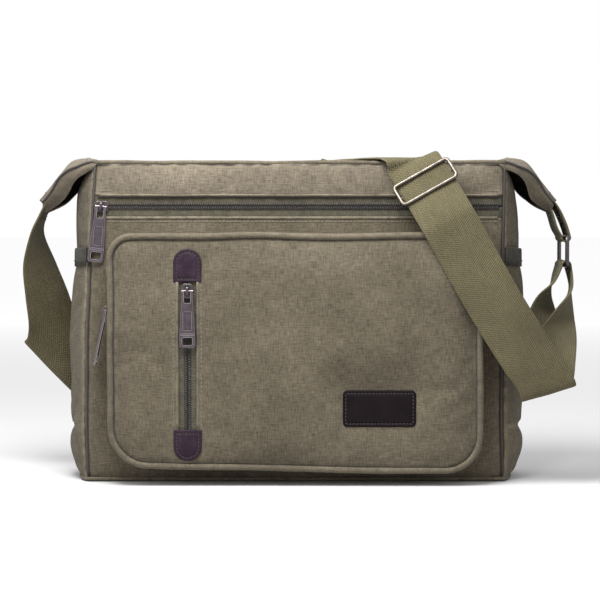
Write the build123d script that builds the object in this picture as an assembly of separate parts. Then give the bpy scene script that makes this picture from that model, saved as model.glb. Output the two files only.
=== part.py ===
from build123d import *
from math import cos, pi, sin
import os

# Canvas messenger bag: main compartment, front box pocket, five zips and an adjustable webbing strap.
# Millimetres, +Z up, front facing -Y. The origin is the middle of the base of the main compartment.

# Main compartment
WIDTH = 342.0
DEPTH = 90.0
HEIGHT = 264.0
WALL = 3.0
GUSSET_BULGE = 12.0
GUSSET_TOP = 248.0
LINING_INSET = 5.0
LINING_WALL = 1.0
BOARD_THICK = 2.0
TOP_PANEL_Z = 257.5
TOP_PANEL_THICK = 2.0

# Side pockets
SIDE_POCKET_BULGE = 20.0
SIDE_POCKET_WALL = 2.0
SIDE_POCKET_TOP = 182.0
SIDE_POCKET_HALF = 40.0
BINDING_HEIGHT = 13.0

# Zips: chain of two tooth rows on two tapes, a channel slider and a pull
TAPE_HALF = 9.5
TAPE_THICK = 0.8
TEETH_HALF = 3.0
TEETH_GAP = 0.1
TEETH_HEIGHT = 1.8
SLIDER_LENGTH = 12.0
SLIDER_HALF = 4.6
SLIDER_CLEARANCE = 0.3
SLIDER_PLATE = 1.0
PIVOT_HEIGHT = 4.4
ARCH_REACH = 3.6
ARCH_POST = 1.4
ARCH_HALF_THICK = 1.0
PULL_LENGTH = 47.0
PULL_THICK = 1.8
TAPE_SINK = 2.2

YOKE_ZIP_Z = 228.5
BACK_ZIP_Z = 214.0
BACK_ZIP_HALF = 115.0
YOKE_LEAN = -6.0
BOX_PULL_TILT = 12.0

# Front box pocket
POCKET_WIDTH = 306.0
POCKET_BOTTOM = 13.0
POCKET_TOP = 206.0
POCKET_X = -2.4
POCKET_DEPTH = 30.0
BOX_ZIP_Y = DEPTH / 2 + 13.5
POCKET_TOP_RADIUS = 20.0
POCKET_BOTTOM_RADIUS = 32.0
POCKET_WALL = 2.5
FACE_THICK = 2.2
PIPING = 4.0
FACE_ZIP_X = -90.0
FACE_ZIP_BOTTOM = 40.0
FACE_ZIP_TOP = 175.0
BOX_ZIP_BOTTOM = 55.0
BOX_ZIP_TOP = 185.0
PATCH_THICK = 1.4

# Strap
STRAP_WIDTH = 45.0
STRAP_THICK = 2.0
STRAP_LAYER = 1.15
EAR_END = (213.0, 0.0, 231.0)
RING_X = 226.0
RING_TOP = 203.0
RING_DROP = 24.0
RING_WIRE = 1.75
RING_HALF = 25.0
LOOP_RADIUS = 3.4
BUCKLE_WIRE = 1.5
BUCKLE_HALF = 25.0
BUCKLE_HEIGHT = 19.0

FRONT = DEPTH / 2
BOX_FACE = FRONT + POCKET_DEPTH
parts = {}


def block(x, y, z):
    """Box between three pairs of limits."""
    size = [high - low for low, high in (x, y, z)]
    centre = [(high + low) / 2 for low, high in (x, y, z)]
    return Pos(*centre) * Box(*size)


def mirrored(solid):
    """The same piece on the other side of the bag."""
    return mirror(solid, about=Plane.YZ)


# ---------------------------------------------------------------- main compartment
def plan_face(inset, bulge=GUSSET_BULGE):
    """Outline of the compartment from above, with bowed sides."""
    x, y = WIDTH / 2 - inset, DEPTH / 2 - inset
    return make_face([
        Line((-x, -y), (x, -y)),
        ThreePointArc((x, -y), (x + bulge, 0), (x, y)),
        Line((x, y), (-x, y)),
        ThreePointArc((-x, y), (-x - bulge, 0), (-x, -y)),
    ])


def slab(face, low, high):
    return Pos(0, 0, low) * extrude(face, high - low)


def make_shell():
    """Front, back, base and gusset panels, cut from one ring of wall."""
    ring = slab(plan_face(0) - plan_face(WALL), WALL, HEIGHT)
    seam = WIDTH / 2 - WALL
    reach = (-seam, seam)
    zip_low, zip_high = YOKE_ZIP_Z - TAPE_HALF, YOKE_ZIP_Z + TAPE_HALF
    parts["front_panel"] = ring & block(reach, (-FRONT, -FRONT + WALL), (WALL, zip_low))
    parts["front_yoke"] = ring & block(reach, (-FRONT, -FRONT + WALL), (zip_high, HEIGHT))
    back = ring & block(reach, (FRONT - WALL, FRONT), (WALL, HEIGHT))
    back_low, back_high = BACK_ZIP_Z - TAPE_HALF, BACK_ZIP_Z + TAPE_HALF
    parts["back_panel"] = back - block((-BACK_ZIP_HALF, BACK_ZIP_HALF), (0, DEPTH), (back_low, back_high))
    gusset = ring & block((seam, WIDTH), (-FRONT, FRONT), (WALL, GUSSET_TOP))
    gusset -= block((seam, WIDTH / 2), (-FRONT - 1, -FRONT + WALL), (zip_low, zip_high))
    parts["right_gusset"] = gusset
    parts["left_gusset"] = mirrored(gusset)
    parts["base_panel"] = slab(plan_face(0), 0, WALL)


def make_inside():
    """Stiffener, lining, padded divider and the two slip pockets sewn to the lining."""
    board_top = WALL + BOARD_THICK
    parts["base_board"] = slab(plan_face(WALL + 0.5), WALL, board_top)
    outside = slab(plan_face(LINING_INSET), board_top, GUSSET_TOP)
    inside = slab(plan_face(LINING_INSET + LINING_WALL), board_top + LINING_WALL, HEIGHT)
    parts["lining"] = outside - inside
    floor = board_top + LINING_WALL
    parts["padded_divider"] = block((-150, 150), (12, 18), (floor, 200))
    lining_face = FRONT - LINING_INSET - LINING_WALL
    parts["inner_slip_pocket"] = block((-75, 75), (lining_face - 1.6, lining_face), (60, 185))


def make_top():
    """Recessed top panels either side of the main zip, and the piped rim."""
    seam = WIDTH / 2 - WALL
    wall_face = FRONT - WALL
    panel = block((-seam, seam), (TAPE_HALF, wall_face), (TOP_PANEL_Z, TOP_PANEL_Z + TOP_PANEL_THICK))
    parts["top_panel_back"] = panel
    parts["top_panel_front"] = mirror(panel, about=Plane.XZ)
    rim = Pos(0, FRONT - WALL / 2, HEIGHT + 1.5) * Rot(0, 90, 0) * Cylinder(1.5, 2 * seam)
    parts["rim_piping"] = Compound([rim, mirror(rim, about=Plane.XZ)])


def make_side_pocket():
    """Bowed pocket on the gusset, open at the top, with a bound upper edge."""
    reach = (WIDTH / 2, WIDTH)
    wall = SIDE_POCKET_WALL
    outside = plan_face(0, SIDE_POCKET_BULGE)
    inside = plan_face(0, SIDE_POCKET_BULGE - wall)
    width = (-SIDE_POCKET_HALF, SIDE_POCKET_HALF)
    pocket = slab(outside - inside, WALL, SIDE_POCKET_TOP) & block(reach, width, (WALL, SIDE_POCKET_TOP))
    foot = slab(inside - plan_face(0), WALL, WALL + 2) & block(reach, width, (WALL, WALL + 2))
    binding = slab(plan_face(0, SIDE_POCKET_BULGE + 0.8) - plan_face(0, SIDE_POCKET_BULGE - wall - 0.6),
                   SIDE_POCKET_TOP, SIDE_POCKET_TOP + BINDING_HEIGHT)
    binding = binding & block(reach, width, (SIDE_POCKET_TOP, SIDE_POCKET_TOP + BINDING_HEIGHT))
    parts["right_side_pocket"] = pocket + foot
    parts["left_side_pocket"] = mirrored(pocket + foot)
    parts["right_pocket_binding"] = binding
    parts["left_pocket_binding"] = mirrored(binding)


# ---------------------------------------------------------------- zips
def zip_plane(origin, travel, outward):
    """Local frame of a zip: X along its travel, Z out of the fabric, zero on the tape's face."""
    return Plane(origin=origin, x_dir=travel, z_dir=outward)


def zip_chain(low, high, tape_low, tape_high):
    """Tapes and interlocked tooth rows, lengthwise along local X."""
    tape = block((tape_low, tape_high), (0.2, TAPE_HALF), (-TAPE_THICK, 0))
    row = block((low, high), (TEETH_GAP, TEETH_HALF), (0, TEETH_HEIGHT))
    return [Compound([piece, mirror(piece, about=Plane.XZ)]) for piece in (tape, row)]


def zip_slider(hang):
    """Channel that rides over the teeth, with an arch that holds the pull."""
    plate_low = TEETH_HEIGHT + SLIDER_CLEARANCE
    plate_high = plate_low + SLIDER_PLATE
    outline = RectangleRounded(SLIDER_LENGTH, 2 * SLIDER_HALF, 2.6)
    plate = Pos(0, 0, plate_low) * extrude(outline, SLIDER_PLATE)
    plate = fillet(plate.edges().group_by(Axis.Z)[-1], 0.45)
    flange_in = TEETH_HALF + SLIDER_CLEARANCE
    flange = block((-SLIDER_LENGTH / 2 + 2, SLIDER_LENGTH / 2 - 2), (flange_in, SLIDER_HALF),
                   (SLIDER_CLEARANCE, plate_low))
    window_top = PIVOT_HEIGHT + 1.3
    arch_top = window_top + 1.2
    profile = Plane.YZ * RectangleRounded(2 * ARCH_REACH, 2 * (arch_top - plate_high), 1.6)
    arch = Pos(0, 0, plate_high) * extrude(profile, ARCH_HALF_THICK, both=True)
    arch = arch & block((-5, 5), (-9, 9), (plate_high - 0.05, arch_top + 1))
    arch = fillet(arch.edges().group_by(Axis.Z)[-1], 0.4)
    window_reach = ARCH_REACH - ARCH_POST
    window = block((-5, 5), (-window_reach, window_reach), (plate_high, window_top))
    return plate + flange + mirror(flange, about=Plane.XZ) + Rot(0, 0, hang) * (arch - window)


def zip_pull():
    """Flat pull that hangs along -Y from a round bar on the X axis."""
    half_top, half_end = 4.5, 6.6
    end = -PULL_LENGTH + 0.7
    waist, flare = -9.0, -36.0
    right_side = [(half_top, 0), (half_top + 0.4, waist), (half_end, flare), (half_end, end)]
    left_side = [(-x, y) for x, y in reversed(right_side)]
    face = make_face(Polyline(*right_side, *left_side, close=True))
    face = fillet(face.vertices().group_by(Axis.Y)[0], 2.6)
    plate = extrude(face, PULL_THICK / 2, both=True)
    eye = Pos(0, -4.4) * RectangleRounded(5.4, 10.6, 1.2)
    end_window = Pos(0, -41.0) * RectangleRounded(8.4, 6.2, 1.5)
    plate = chamfer(plate.edges().group_by(Axis.Z)[-1], 0.35)
    plate -= extrude(eye, PULL_THICK, both=True) + extrude(end_window, PULL_THICK, both=True)
    groove_depth = 0.45
    groove_floor = PULL_THICK / 2 - groove_depth
    recess = Pos(0, -24.5, groove_floor) * extrude(RectangleRounded(6.6, 15.0, 0.8), PULL_THICK)
    groove = Pos(0, -35.4, groove_floor) * Box(10.4, 1.0, 2 * groove_depth)
    bar = Rot(0, 90, 0) * Cylinder(PULL_THICK / 2, 2 * half_top)
    return plate - recess - groove + bar


def make_zip(name, plane, chain, tapes, at, hang, tilt=0.0):
    """One closed zip: tapes, teeth, slider at its place along the travel, and the hanging pull."""
    tape, teeth = zip_chain(chain[0], chain[1], tapes[0], tapes[1])
    spot = Pos(at, 0, 0)
    pull = Pos(0, 0, PIVOT_HEIGHT) * Rot(0, 0, hang) * Rot(tilt, 0, 0) * zip_pull()
    parts[name + "_zip_tapes"] = plane * tape
    parts[name + "_zip_teeth"] = plane * teeth
    parts[name + "_zip_slider"] = plane * (spot * zip_slider(hang))
    parts[name + "_zip_pull"] = plane * (spot * pull)


def make_zips():
    seam = WIDTH / 2 - WALL
    tape_face = FRONT - TAPE_SINK
    left_wall = POCKET_X - POCKET_WIDTH / 2 + 1.8
    tape_face_box = BOX_FACE - 1.4
    back_reach = (-BACK_ZIP_HALF, BACK_ZIP_HALF)
    side_reach = (BOX_ZIP_BOTTOM, BOX_ZIP_TOP)
    top = zip_plane((0, 0, TOP_PANEL_Z + 1.2), (1, 0, 0), (0, 0, 1))
    yoke = zip_plane((0, -tape_face, YOKE_ZIP_Z), (1, 0, 0), (0, -1, 0))
    back = zip_plane((0, tape_face, BACK_ZIP_Z), (-1, 0, 0), (0, 1, 0))
    side = zip_plane((left_wall, -BOX_ZIP_Y, 0), (0, 0, 1), (-1, 0, 0))
    face = zip_plane((FACE_ZIP_X, -tape_face_box, 0), (0, 0, 1), (0, -1, 0))
    make_zip("top", top, (-seam, seam), (-seam, seam), -150.0, 90)
    make_zip("yoke", yoke, (-seam, seam), (-seam, seam), -163.0, YOKE_LEAN)
    make_zip("back", back, back_reach, back_reach, 106.0, 0)
    make_zip("side", side, side_reach, side_reach, 143.0, -90, -BOX_PULL_TILT)
    make_zip("face", face, (46.5, 166.5), (FACE_ZIP_BOTTOM, FACE_ZIP_TOP), 159.5, -90)


def make_pocket_bags():
    """Flat inner pouches behind the yoke, back and face zips."""
    bag_out, bag_in = FRONT - WALL - 0.4, FRONT - LINING_INSET + 0.3
    parts["yoke_pocket_bag"] = block((-150, 150), (-bag_out, -bag_in), (110, 236))
    parts["back_pocket_bag"] = block((-112, 112), (bag_in, bag_out), (80, 222))
    behind = BOX_FACE - 3.4
    parts["face_pocket_bag"] = block((-120, 20), (-behind, -behind + 1.2), (35, 180))


# ---------------------------------------------------------------- box pocket
def pocket_outline(grow):
    """Outline of the box pocket in the XZ plane, tighter corners above than below."""
    height = POCKET_TOP - POCKET_BOTTOM
    shape = Rectangle(POCKET_WIDTH + 2 * grow, height + 2 * grow)
    shape = fillet(shape.vertices().group_by(Axis.Y)[-1], POCKET_TOP_RADIUS + grow)
    shape = fillet(shape.vertices().group_by(Axis.Y)[0], POCKET_BOTTOM_RADIUS + grow)
    return Pos(POCKET_X, (POCKET_TOP + POCKET_BOTTOM) / 2) * shape


def forward(sketch, start, thick):
    """Solid that stands forward of the bag's mid plane, from start over thick."""
    return extrude(Plane.XZ.offset(start) * sketch, thick)


def make_box_pocket():
    """Rounded box pocket: a deep gusset with a zip in its left wall, a piped edge and a flat face."""
    gusset = forward(pocket_outline(0) - pocket_outline(-POCKET_WALL), FRONT, POCKET_DEPTH - 3)
    left = POCKET_X - POCKET_WIDTH / 2
    slot = block((left - 1, left + POCKET_WALL + 1), (-BOX_ZIP_Y - TAPE_HALF, -BOX_ZIP_Y + TAPE_HALF),
                 (BOX_ZIP_BOTTOM, BOX_ZIP_TOP))
    parts["box_pocket_gusset"] = gusset - slot
    piping = forward(pocket_outline(0.5) - pocket_outline(0.5 - PIPING), BOX_FACE - 3, PIPING)
    parts["box_pocket_piping"] = fillet(piping.edges(), 1.9)
    face = forward(pocket_outline(0.5 - PIPING), BOX_FACE - 2, FACE_THICK)
    slot = block((FACE_ZIP_X - TAPE_HALF, FACE_ZIP_X + TAPE_HALF), (-BOX_FACE - 5, -BOX_FACE + 5),
                 (FACE_ZIP_BOTTOM, FACE_ZIP_TOP))
    parts["box_pocket_face"] = face - slot


def patch(low, high, arch_side):
    """Leather zip end with one rounded end."""
    half, height = 11.5, high - low
    shape = Rectangle(2 * half, height)
    ends = shape.vertices().group_by(Axis.Y)[arch_side]
    shape = fillet(ends, half - 0.5)
    return forward(Pos(FACE_ZIP_X, (low + high) / 2) * shape, BOX_FACE + 0.2, PATCH_THICK)


def make_leather():
    parts["zip_patch_upper"] = patch(166.8, 193.8, -1)
    parts["zip_patch_lower"] = patch(20.8, 46.2, 0)
    place = Pos(66.5, 63.5)
    label = forward(place * RectangleRounded(60, 30, 4), BOX_FACE + 0.2, 1.6)
    groove = RectangleRounded(54, 24, 2.4) - RectangleRounded(53, 23, 2)
    parts["label_patch"] = label - forward(place * groove, BOX_FACE + 1.5, 1)


# ---------------------------------------------------------------- ears, strap and hardware
def four_corners(middle, half, lift):
    """Corners of a flat cross-section, in order round it."""
    return [middle - half - lift, middle + half - lift, middle + half + lift, middle - half + lift]


def section_corners(sections, thick):
    """Four corners of each cross-section of a flat band given as (centre, across)."""
    centres = [Vector(*centre) for centre, _ in sections]
    last = len(centres) - 1
    corners = []
    for i, (_, wide) in enumerate(sections):
        half = Vector(*wide) / 2
        run = (centres[min(i + 1, last)] - centres[max(i - 1, 0)]).normalized()
        lift = run.cross(half).normalized() * (thick / 2)
        corners.append(four_corners(centres[i], half, lift))
    return corners


def band(corners):
    """Closed flat solid through cross-sections given by their corners."""
    outlines = [Wire.make_polygon(points, close=True) for points in corners]
    return Solid.make_loft(outlines, ruled=True)


def ribbon(sections, thick):
    return band(section_corners(sections, thick))


def shifted(sections, offset):
    """The same sections moved along the band's own normal."""
    corners = section_corners(sections, 2 * abs(offset))
    side = slice(2, 4) if offset > 0 else slice(0, 2)
    moved = [(points[side][0] + points[side][1]) / 2 for points in corners]
    return [(tuple(centre), wide) for centre, (_, wide) in zip(moved, sections)]


def make_ears():
    """Folded upper ends of the gussets, which taper out and down to the strap."""
    stations = [
        ((173, 0, 260), 84, 9.0),
        ((187, 0, 258.5), 82, 14.0),
        ((199, 0, 247), 64, 14.0),
        (EAR_END, 48, 9.0),
    ]
    runs = [(1, 0), (0.8, -0.6), (0.65, -0.75), (0.6, -0.8)]
    corners = []
    for (centre, width, thick), (run_x, run_z) in zip(stations, runs):
        lift = Vector(-run_z, 0, run_x) * (thick / 2)
        half = Vector(0, width / 2, 0)
        corners.append(four_corners(Vector(*centre), half, lift))
    ear = band(corners)
    parts["right_ear"] = ear
    parts["left_ear"] = mirrored(ear)


def across(x, y, z, width=STRAP_WIDTH):
    """Crosswise vector of the webbing at its full width."""
    return tuple(Vector(x, y, z).normalized() * width)


def half_turn(centre, axis, length, near, away, radius, steps=6):
    """Sections round a fold about an axis, from its near side past away to the far side."""
    middle, line = Vector(*centre), Vector(*axis).normalized()
    first = Vector(*near)
    first = (first - line * first.dot(line)).normalized()
    second = line.cross(first)
    if second.dot(Vector(*away)) < 0:
        second = second * -1
    sections = []
    for i in range(steps + 1):
        angle = pi * i / steps
        point = middle + first * (radius * cos(angle)) + second * (radius * sin(angle))
        sections.append((tuple(point), across(*axis, width=length)))
    return sections


def left_route():
    """From the left ear down beside the bag, folded back behind it."""
    hang = [
        ((-216, 0, 222), across(0, 1, 0)),
        ((-222, 1, 205), across(0.12, 1, 0)),
        ((-221, 8, 180), across(0.5, 0.86, 0)),
        ((-216, 19, 152), across(0.75, 0.66, 0)),
        ((-213, 30, 126), across(0.86, 0.5, -0.05)),
    ]
    return hang + half_turn((-216, 42, 91), (0.66, 0.16, -0.72), 62, (0, -1, 0), (-1, 0, -1), 3.0)


def back_route():
    """Behind the bag, up to the top edge and over it."""
    return [
        ((-190, 50, 92), across(0.15, 0, -1)),
        ((-150, 52, 96), across(0.15, 0, -1)),
        ((-105, 54, 107), across(0.32, 0, -0.95)),
        ((-60, 55, 128), across(0.5, 0, -0.86)),
        ((-20, 55.5, 160), across(0.67, 0, -0.74)),
        ((11, 55.5, 201), across(0.82, 0, -0.57)),
        ((32, 54.5, 243), across(0.88, 0, -0.47)),
        ((40, 52.5, 260), across(0.88, 0.1, -0.45)),
        ((46, 45, 270), across(0.88, 0.47, 0)),
        ((88, -41, 270), across(0.88, 0.47, 0)),
        ((94, -51, 266), across(0.88, 0.2, 0.4)),
    ]


def front_route():
    """From the buckle down the front, round the lower fold and up to the ring."""
    slant = across(0.87, 0.0, 0.49)
    down = [
        ((99, -57, 257), slant),
        ((105, -63, 247), slant),
        ((119, -78.5, 222), slant),
        ((128, -81.5, 206), slant),
        ((157, -82.5, 154), slant),
        ((183, -80.5, 108), slant),
        ((194, -79, 89), across(0.93, 0, 0.37)),
    ]
    fold = half_turn((198, -74, 80), (0.96, 0, 0.28), 46.3, (0, -1, 0), (0, 0, -1), 3.8)
    up = [
        ((201, -66, 95), across(0.99, 0.1, 0.08)),
        ((209, -48, 120), across(0.85, 0.5, 0.03)),
        ((219, -24, 143), across(0.45, 0.88, 0.05)),
        ((RING_X, -3, 160), across(0.08, 1, 0.1)),
    ]
    return down + fold + up


def make_strap():
    """Long layer from the left ear to the ring, and the second layer from the ring to the buckle."""
    left, back, front = left_route(), back_route(), front_route()
    corners = section_corners(left + back + shifted(front, STRAP_LAYER), STRAP_THICK)
    fold_middle = len(left) - 4
    over_top = len(left) + len(back) - 2
    parts["strap_left_run"] = band(corners[:fold_middle + 1])
    parts["strap_back_run"] = band(corners[fold_middle:over_top + 1])
    parts["strap_outer_layer"] = band(corners[over_top:])
    parts["strap_inner_layer"] = ribbon(shifted(front[2:], -STRAP_LAYER), STRAP_THICK)


def loop_round(bar, leg_end, width, thick=1.6):
    """Webbing loop round a bar that runs along Y, with both legs reaching towards leg_end."""
    bar_v, end_v = Vector(*bar), Vector(*leg_end)
    reach = (end_v - bar_v).normalized()
    side = Vector(reach.Z, 0, -reach.X)
    axis = (0, 1, 0)
    turn = half_turn(bar, axis, width, tuple(side), tuple(-reach), LOOP_RADIUS, steps=8)
    wide = across(*axis, width=width)
    near = end_v + side * 1.6
    far = end_v - side * 1.6
    return ribbon([(tuple(near), wide)] + turn + [(tuple(far), wide)], thick)


def make_ring():
    """Rectangular strap ring, its webbing tab on the ear and the strap's end loop."""
    centre_z = RING_TOP - RING_DROP / 2
    path = Plane(origin=(RING_X, 0, centre_z), x_dir=(0, 1, 0), z_dir=(1, 0, 0))
    outer = RectangleRounded(2 * RING_HALF + 2 * RING_WIRE, RING_DROP + 2 * RING_WIRE, 5.5)
    inner = RectangleRounded(2 * RING_HALF - 2 * RING_WIRE, RING_DROP - 2 * RING_WIRE, 2.5)
    ring = extrude(path * (outer - inner), RING_WIRE, both=True)
    parts["strap_ring"] = fillet(ring.edges(), RING_WIRE - 0.1)
    tab_top = (EAR_END[0] + 2.6, 0, EAR_END[2] - 3.6)
    parts["ring_tab"] = loop_round((RING_X, 0, RING_TOP), tab_top, 40.0)
    lower_bar = (RING_X, 0, RING_TOP - RING_DROP)
    parts["strap_end_loop"] = loop_round(lower_bar, (RING_X, 0, 163.8), STRAP_WIDTH - 3)


def make_buckle():
    """Wire frame of the strap adjuster and its centre bar."""
    (centre, wide), (below, _) = front_route()[1:3]
    run = Vector(*centre) - Vector(*below)
    normal = run.cross(Vector(*wide)) * -1
    plane = Plane(origin=centre, x_dir=wide, z_dir=normal)
    wire = BUCKLE_WIRE
    outer = RectangleRounded(2 * BUCKLE_HALF + 2 * wire, BUCKLE_HEIGHT + 2 * wire, 4.5)
    inner = RectangleRounded(2 * BUCKLE_HALF - 2 * wire, BUCKLE_HEIGHT - 2 * wire, 1.8)
    height = STRAP_LAYER + STRAP_THICK / 2 + wire + 0.3
    frame = fillet(extrude(outer - inner, wire, both=True).edges(), wire - 0.1)
    parts["buckle_frame"] = plane * (Pos(0, 0, height) * frame)
    bar_height = STRAP_LAYER - STRAP_THICK / 2 - wire - 0.3
    bar_radius = wire - 0.2
    bar = Pos(0, 0, bar_height) * Rot(0, 90, 0) * Cylinder(bar_radius, 2 * BUCKLE_HALF + 2)
    post = Pos(0, 0, (bar_height + height) / 2) * Cylinder(bar_radius, height - bar_height)
    posts = [Pos(side * BUCKLE_HALF, 0, 0) * post for side in (-1, 1)]
    parts["buckle_bar"] = plane * (bar + posts[0] + posts[1] - Pos(0, 0, height) * frame)


def write_parts():
    os.makedirs("parts", exist_ok=True)
    for name, shape in parts.items():
        solids = shape.solids()
        whole = Compound(solids) if len(solids) > 1 else shape.solid()
        export_step(whole, f"parts/{name}.step")


make_shell()
make_inside()
make_top()
make_side_pocket()
make_zips()
make_pocket_bags()
make_box_pocket()
make_leather()
make_ears()
make_strap()
make_ring()
make_buckle()
write_parts()
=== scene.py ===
from math import atan2, ceil, cos, floor, pi, radians, sin, sqrt

import bpy
from mathutils import Matrix, Vector, noise


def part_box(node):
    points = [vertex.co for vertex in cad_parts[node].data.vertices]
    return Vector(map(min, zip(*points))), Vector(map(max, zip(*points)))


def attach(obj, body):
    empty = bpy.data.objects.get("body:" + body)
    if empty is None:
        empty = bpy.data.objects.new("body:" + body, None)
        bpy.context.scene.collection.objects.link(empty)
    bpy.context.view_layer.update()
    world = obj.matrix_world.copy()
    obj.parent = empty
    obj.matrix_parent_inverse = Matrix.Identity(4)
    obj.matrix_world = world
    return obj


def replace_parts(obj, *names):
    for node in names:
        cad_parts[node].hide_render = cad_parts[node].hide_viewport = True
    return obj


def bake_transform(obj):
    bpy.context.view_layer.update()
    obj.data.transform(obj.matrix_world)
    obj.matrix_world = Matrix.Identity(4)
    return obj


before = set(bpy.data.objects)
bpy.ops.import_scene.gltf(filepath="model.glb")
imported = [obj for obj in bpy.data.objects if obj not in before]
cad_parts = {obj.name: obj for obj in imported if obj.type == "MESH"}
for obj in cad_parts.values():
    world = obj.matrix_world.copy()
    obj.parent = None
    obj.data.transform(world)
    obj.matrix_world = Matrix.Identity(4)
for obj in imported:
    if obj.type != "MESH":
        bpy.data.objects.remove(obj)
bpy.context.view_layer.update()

# All shapes are worked out in millimetres and scaled to metres when their mesh is made.
MM = 0.001
BAG = "bag"


def span(node):
    """Lowest and highest corner of a CAD node, in millimetres."""
    low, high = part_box(node)
    return Vector(low) / MM, Vector(high) / MM


FRONT_LOW, FRONT_HIGH = span("front_panel")
YOKE_LOW, YOKE_HIGH = span("front_yoke")
POCKET_LOW, POCKET_HIGH = span("box_pocket_piping")
FACE_LOW, FACE_HIGH = span("box_pocket_face")
GUSSET_LOW, GUSSET_HIGH = span("right_gusset")
SIDE_LOW, SIDE_HIGH = span("right_side_pocket")
BINDING_LOW, BINDING_HIGH = span("right_pocket_binding")
SEAM_X = FRONT_HIGH.x + 3.0
FRONT_Y = FRONT_LOW.y
BACK_Y = -FRONT_Y
RIM_Z = YOKE_HIGH.z


# ---------------------------------------------------------------- camera, light and floor
def make_stage():
    scene = bpy.context.scene
    scene.view_settings.view_transform = "Standard"
    scene.view_settings.look = "None"
    distance, height, aim_z = 1600.0, 214.0, 151.0
    frame_width = 498.0
    camera_data = bpy.data.cameras.new("camera")
    camera = bpy.data.objects.new("camera", camera_data)
    scene.collection.objects.link(camera)
    eye = Vector((1.7, FRONT_Y - distance, height)) * MM
    target = Vector((1.7, FRONT_Y, aim_z)) * MM
    camera.location = eye
    camera.rotation_euler = (target - eye).to_track_quat("-Z", "Y").to_euler()
    camera_data.sensor_width = 36.0
    camera_data.lens = 36.0 * (target - eye).length / (frame_width * MM)
    scene.camera = camera

    world = bpy.data.worlds.new("studio")
    world.use_nodes = True
    background = world.node_tree.nodes["Background"]
    background.inputs[0].default_value = (1.0, 1.0, 1.0, 1.0)
    background.inputs[1].default_value = 1.0
    scene.world = world
    lights = [("key", (-0.9, -1.3, 1.6), 1.2, 2.5), ("fill", (-1.5, -0.9, 0.6), 0.9, 3.5),
              ("top", (0.1, 0.4, 1.6), 1.0, 4.0), ("overhead", (-0.12, -0.33, 0.68), 0.4, 9.5)]
    for name, place, size, power in lights:
        data = bpy.data.lights.new(name, "AREA")
        data.shape = "DISK"
        data.size = size
        data.energy = power
        lamp = bpy.data.objects.new(name, data)
        lamp.location = place
        lamp.rotation_euler = (Vector((0, 0, 0.12)) - Vector(place)).to_track_quat("-Z", "Y").to_euler()
        scene.collection.objects.link(lamp)

    floor_mesh = bpy.data.meshes.new("floor")
    reach = 30.0
    floor_mesh.from_pydata([(-reach, -reach, 0), (reach, -reach, 0), (reach, reach, 0), (-reach, reach, 0)], [],
                           [(0, 1, 2, 3)])
    ground = bpy.data.objects.new("floor", floor_mesh)
    ground.location.z = -0.0004
    scene.collection.objects.link(ground)
    n = Nodes("floor")
    place = n.add("ShaderNodeTexCoord").outputs["Object"]
    reach_out = n.add("ShaderNodeVectorMath", {"operation": "LENGTH"}, i0=place).outputs["Value"]
    paper = n.noise(place, 30.0, 2.0, 0.5)
    # Painted shade: the floor colour is darkened to 0.53 within 0.35 m of the bag and brightens to 0.985 by 2.6 m.
    shade = n.ramp(reach_out, 0.35, 2.6, 0.53, 0.985)
    colour = n.scaled(n.mix(paper, rgba(1.0, 0.99, 1.0), rgba(0.99, 0.98, 0.995)), shade)
    floor_mesh.materials.append(n.finish(colour, 1.0, paper, 0.02, 0.0002, Specular_IOR_Level=0.0))


# ---------------------------------------------------------------- materials
class Nodes:
    """Small helper that adds and links shader nodes."""

    def __init__(self, name):
        self.material = bpy.data.materials.new(name)
        self.material.use_nodes = True
        self.tree = self.material.node_tree
        self.shader = self.tree.nodes["Principled BSDF"]

    def add(self, kind, settings=None, **inputs):
        node = self.tree.nodes.new(kind)
        for key, value in (settings or {}).items():
            setattr(node, key, value)
        for key, value in inputs.items():
            socket = node.inputs[int(key[1:])] if key[0] == "i" and key[1:].isdigit() else node.inputs[key]
            if hasattr(value, "is_output"):
                self.tree.links.new(value, socket)
            else:
                socket.default_value = value
        return node

    def math(self, operation, first, second=0.0, clamp=False):
        return self.add("ShaderNodeMath", {"operation": operation, "use_clamp": clamp}, i0=first, i1=second).outputs[0]

    def noise(self, vector, scale, detail=3.0, rough=0.55):
        node = self.add("ShaderNodeTexNoise", None, Vector=vector, Scale=scale, Detail=detail, Roughness=rough)
        return node.outputs["Fac"]

    def stretched(self, vector, scale):
        node = self.add("ShaderNodeMapping", {"vector_type": "POINT"}, Vector=vector, Scale=scale)
        return node.outputs[0]

    def ramp(self, value, low, high, start, end):
        """Straight map of value from low..high to start..end."""
        node = self.add("ShaderNodeMapRange", {"clamp": True}, i0=value, i1=low, i2=high, i3=start, i4=end)
        return node.outputs[0]

    def mix(self, share, first, second):
        node = self.tree.nodes.new("ShaderNodeMix")
        node.data_type = "RGBA"
        for socket, value in ((node.inputs[0], share), (node.inputs[6], first), (node.inputs[7], second)):
            if hasattr(value, "is_output"):
                self.tree.links.new(value, socket)
            else:
                socket.default_value = value
        return node.outputs[2]

    def scaled(self, colour, factor):
        """Colour multiplied by a grey factor."""
        node = self.tree.nodes.new("ShaderNodeVectorMath")
        node.operation = "SCALE"
        self.tree.links.new(colour, node.inputs[0])
        self.tree.links.new(factor, node.inputs["Scale"])
        return node.outputs[0]

    def finish(self, colour, roughness, bump_height, strength=0.6, distance=0.0006, **fixed):
        self.tree.links.new(colour, self.shader.inputs["Base Color"])
        if hasattr(roughness, "is_output"):
            self.tree.links.new(roughness, self.shader.inputs["Roughness"])
        else:
            self.shader.inputs["Roughness"].default_value = roughness
        for key, value in fixed.items():
            self.shader.inputs[key.replace("_", " ")].default_value = value
        bump = self.add("ShaderNodeBump", None, Strength=strength, Distance=distance, Height=bump_height)
        self.tree.links.new(bump.outputs[0], self.shader.inputs["Normal"])
        return self.material


def rgba(red, green, blue):
    return (red, green, blue, 1.0)


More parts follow.
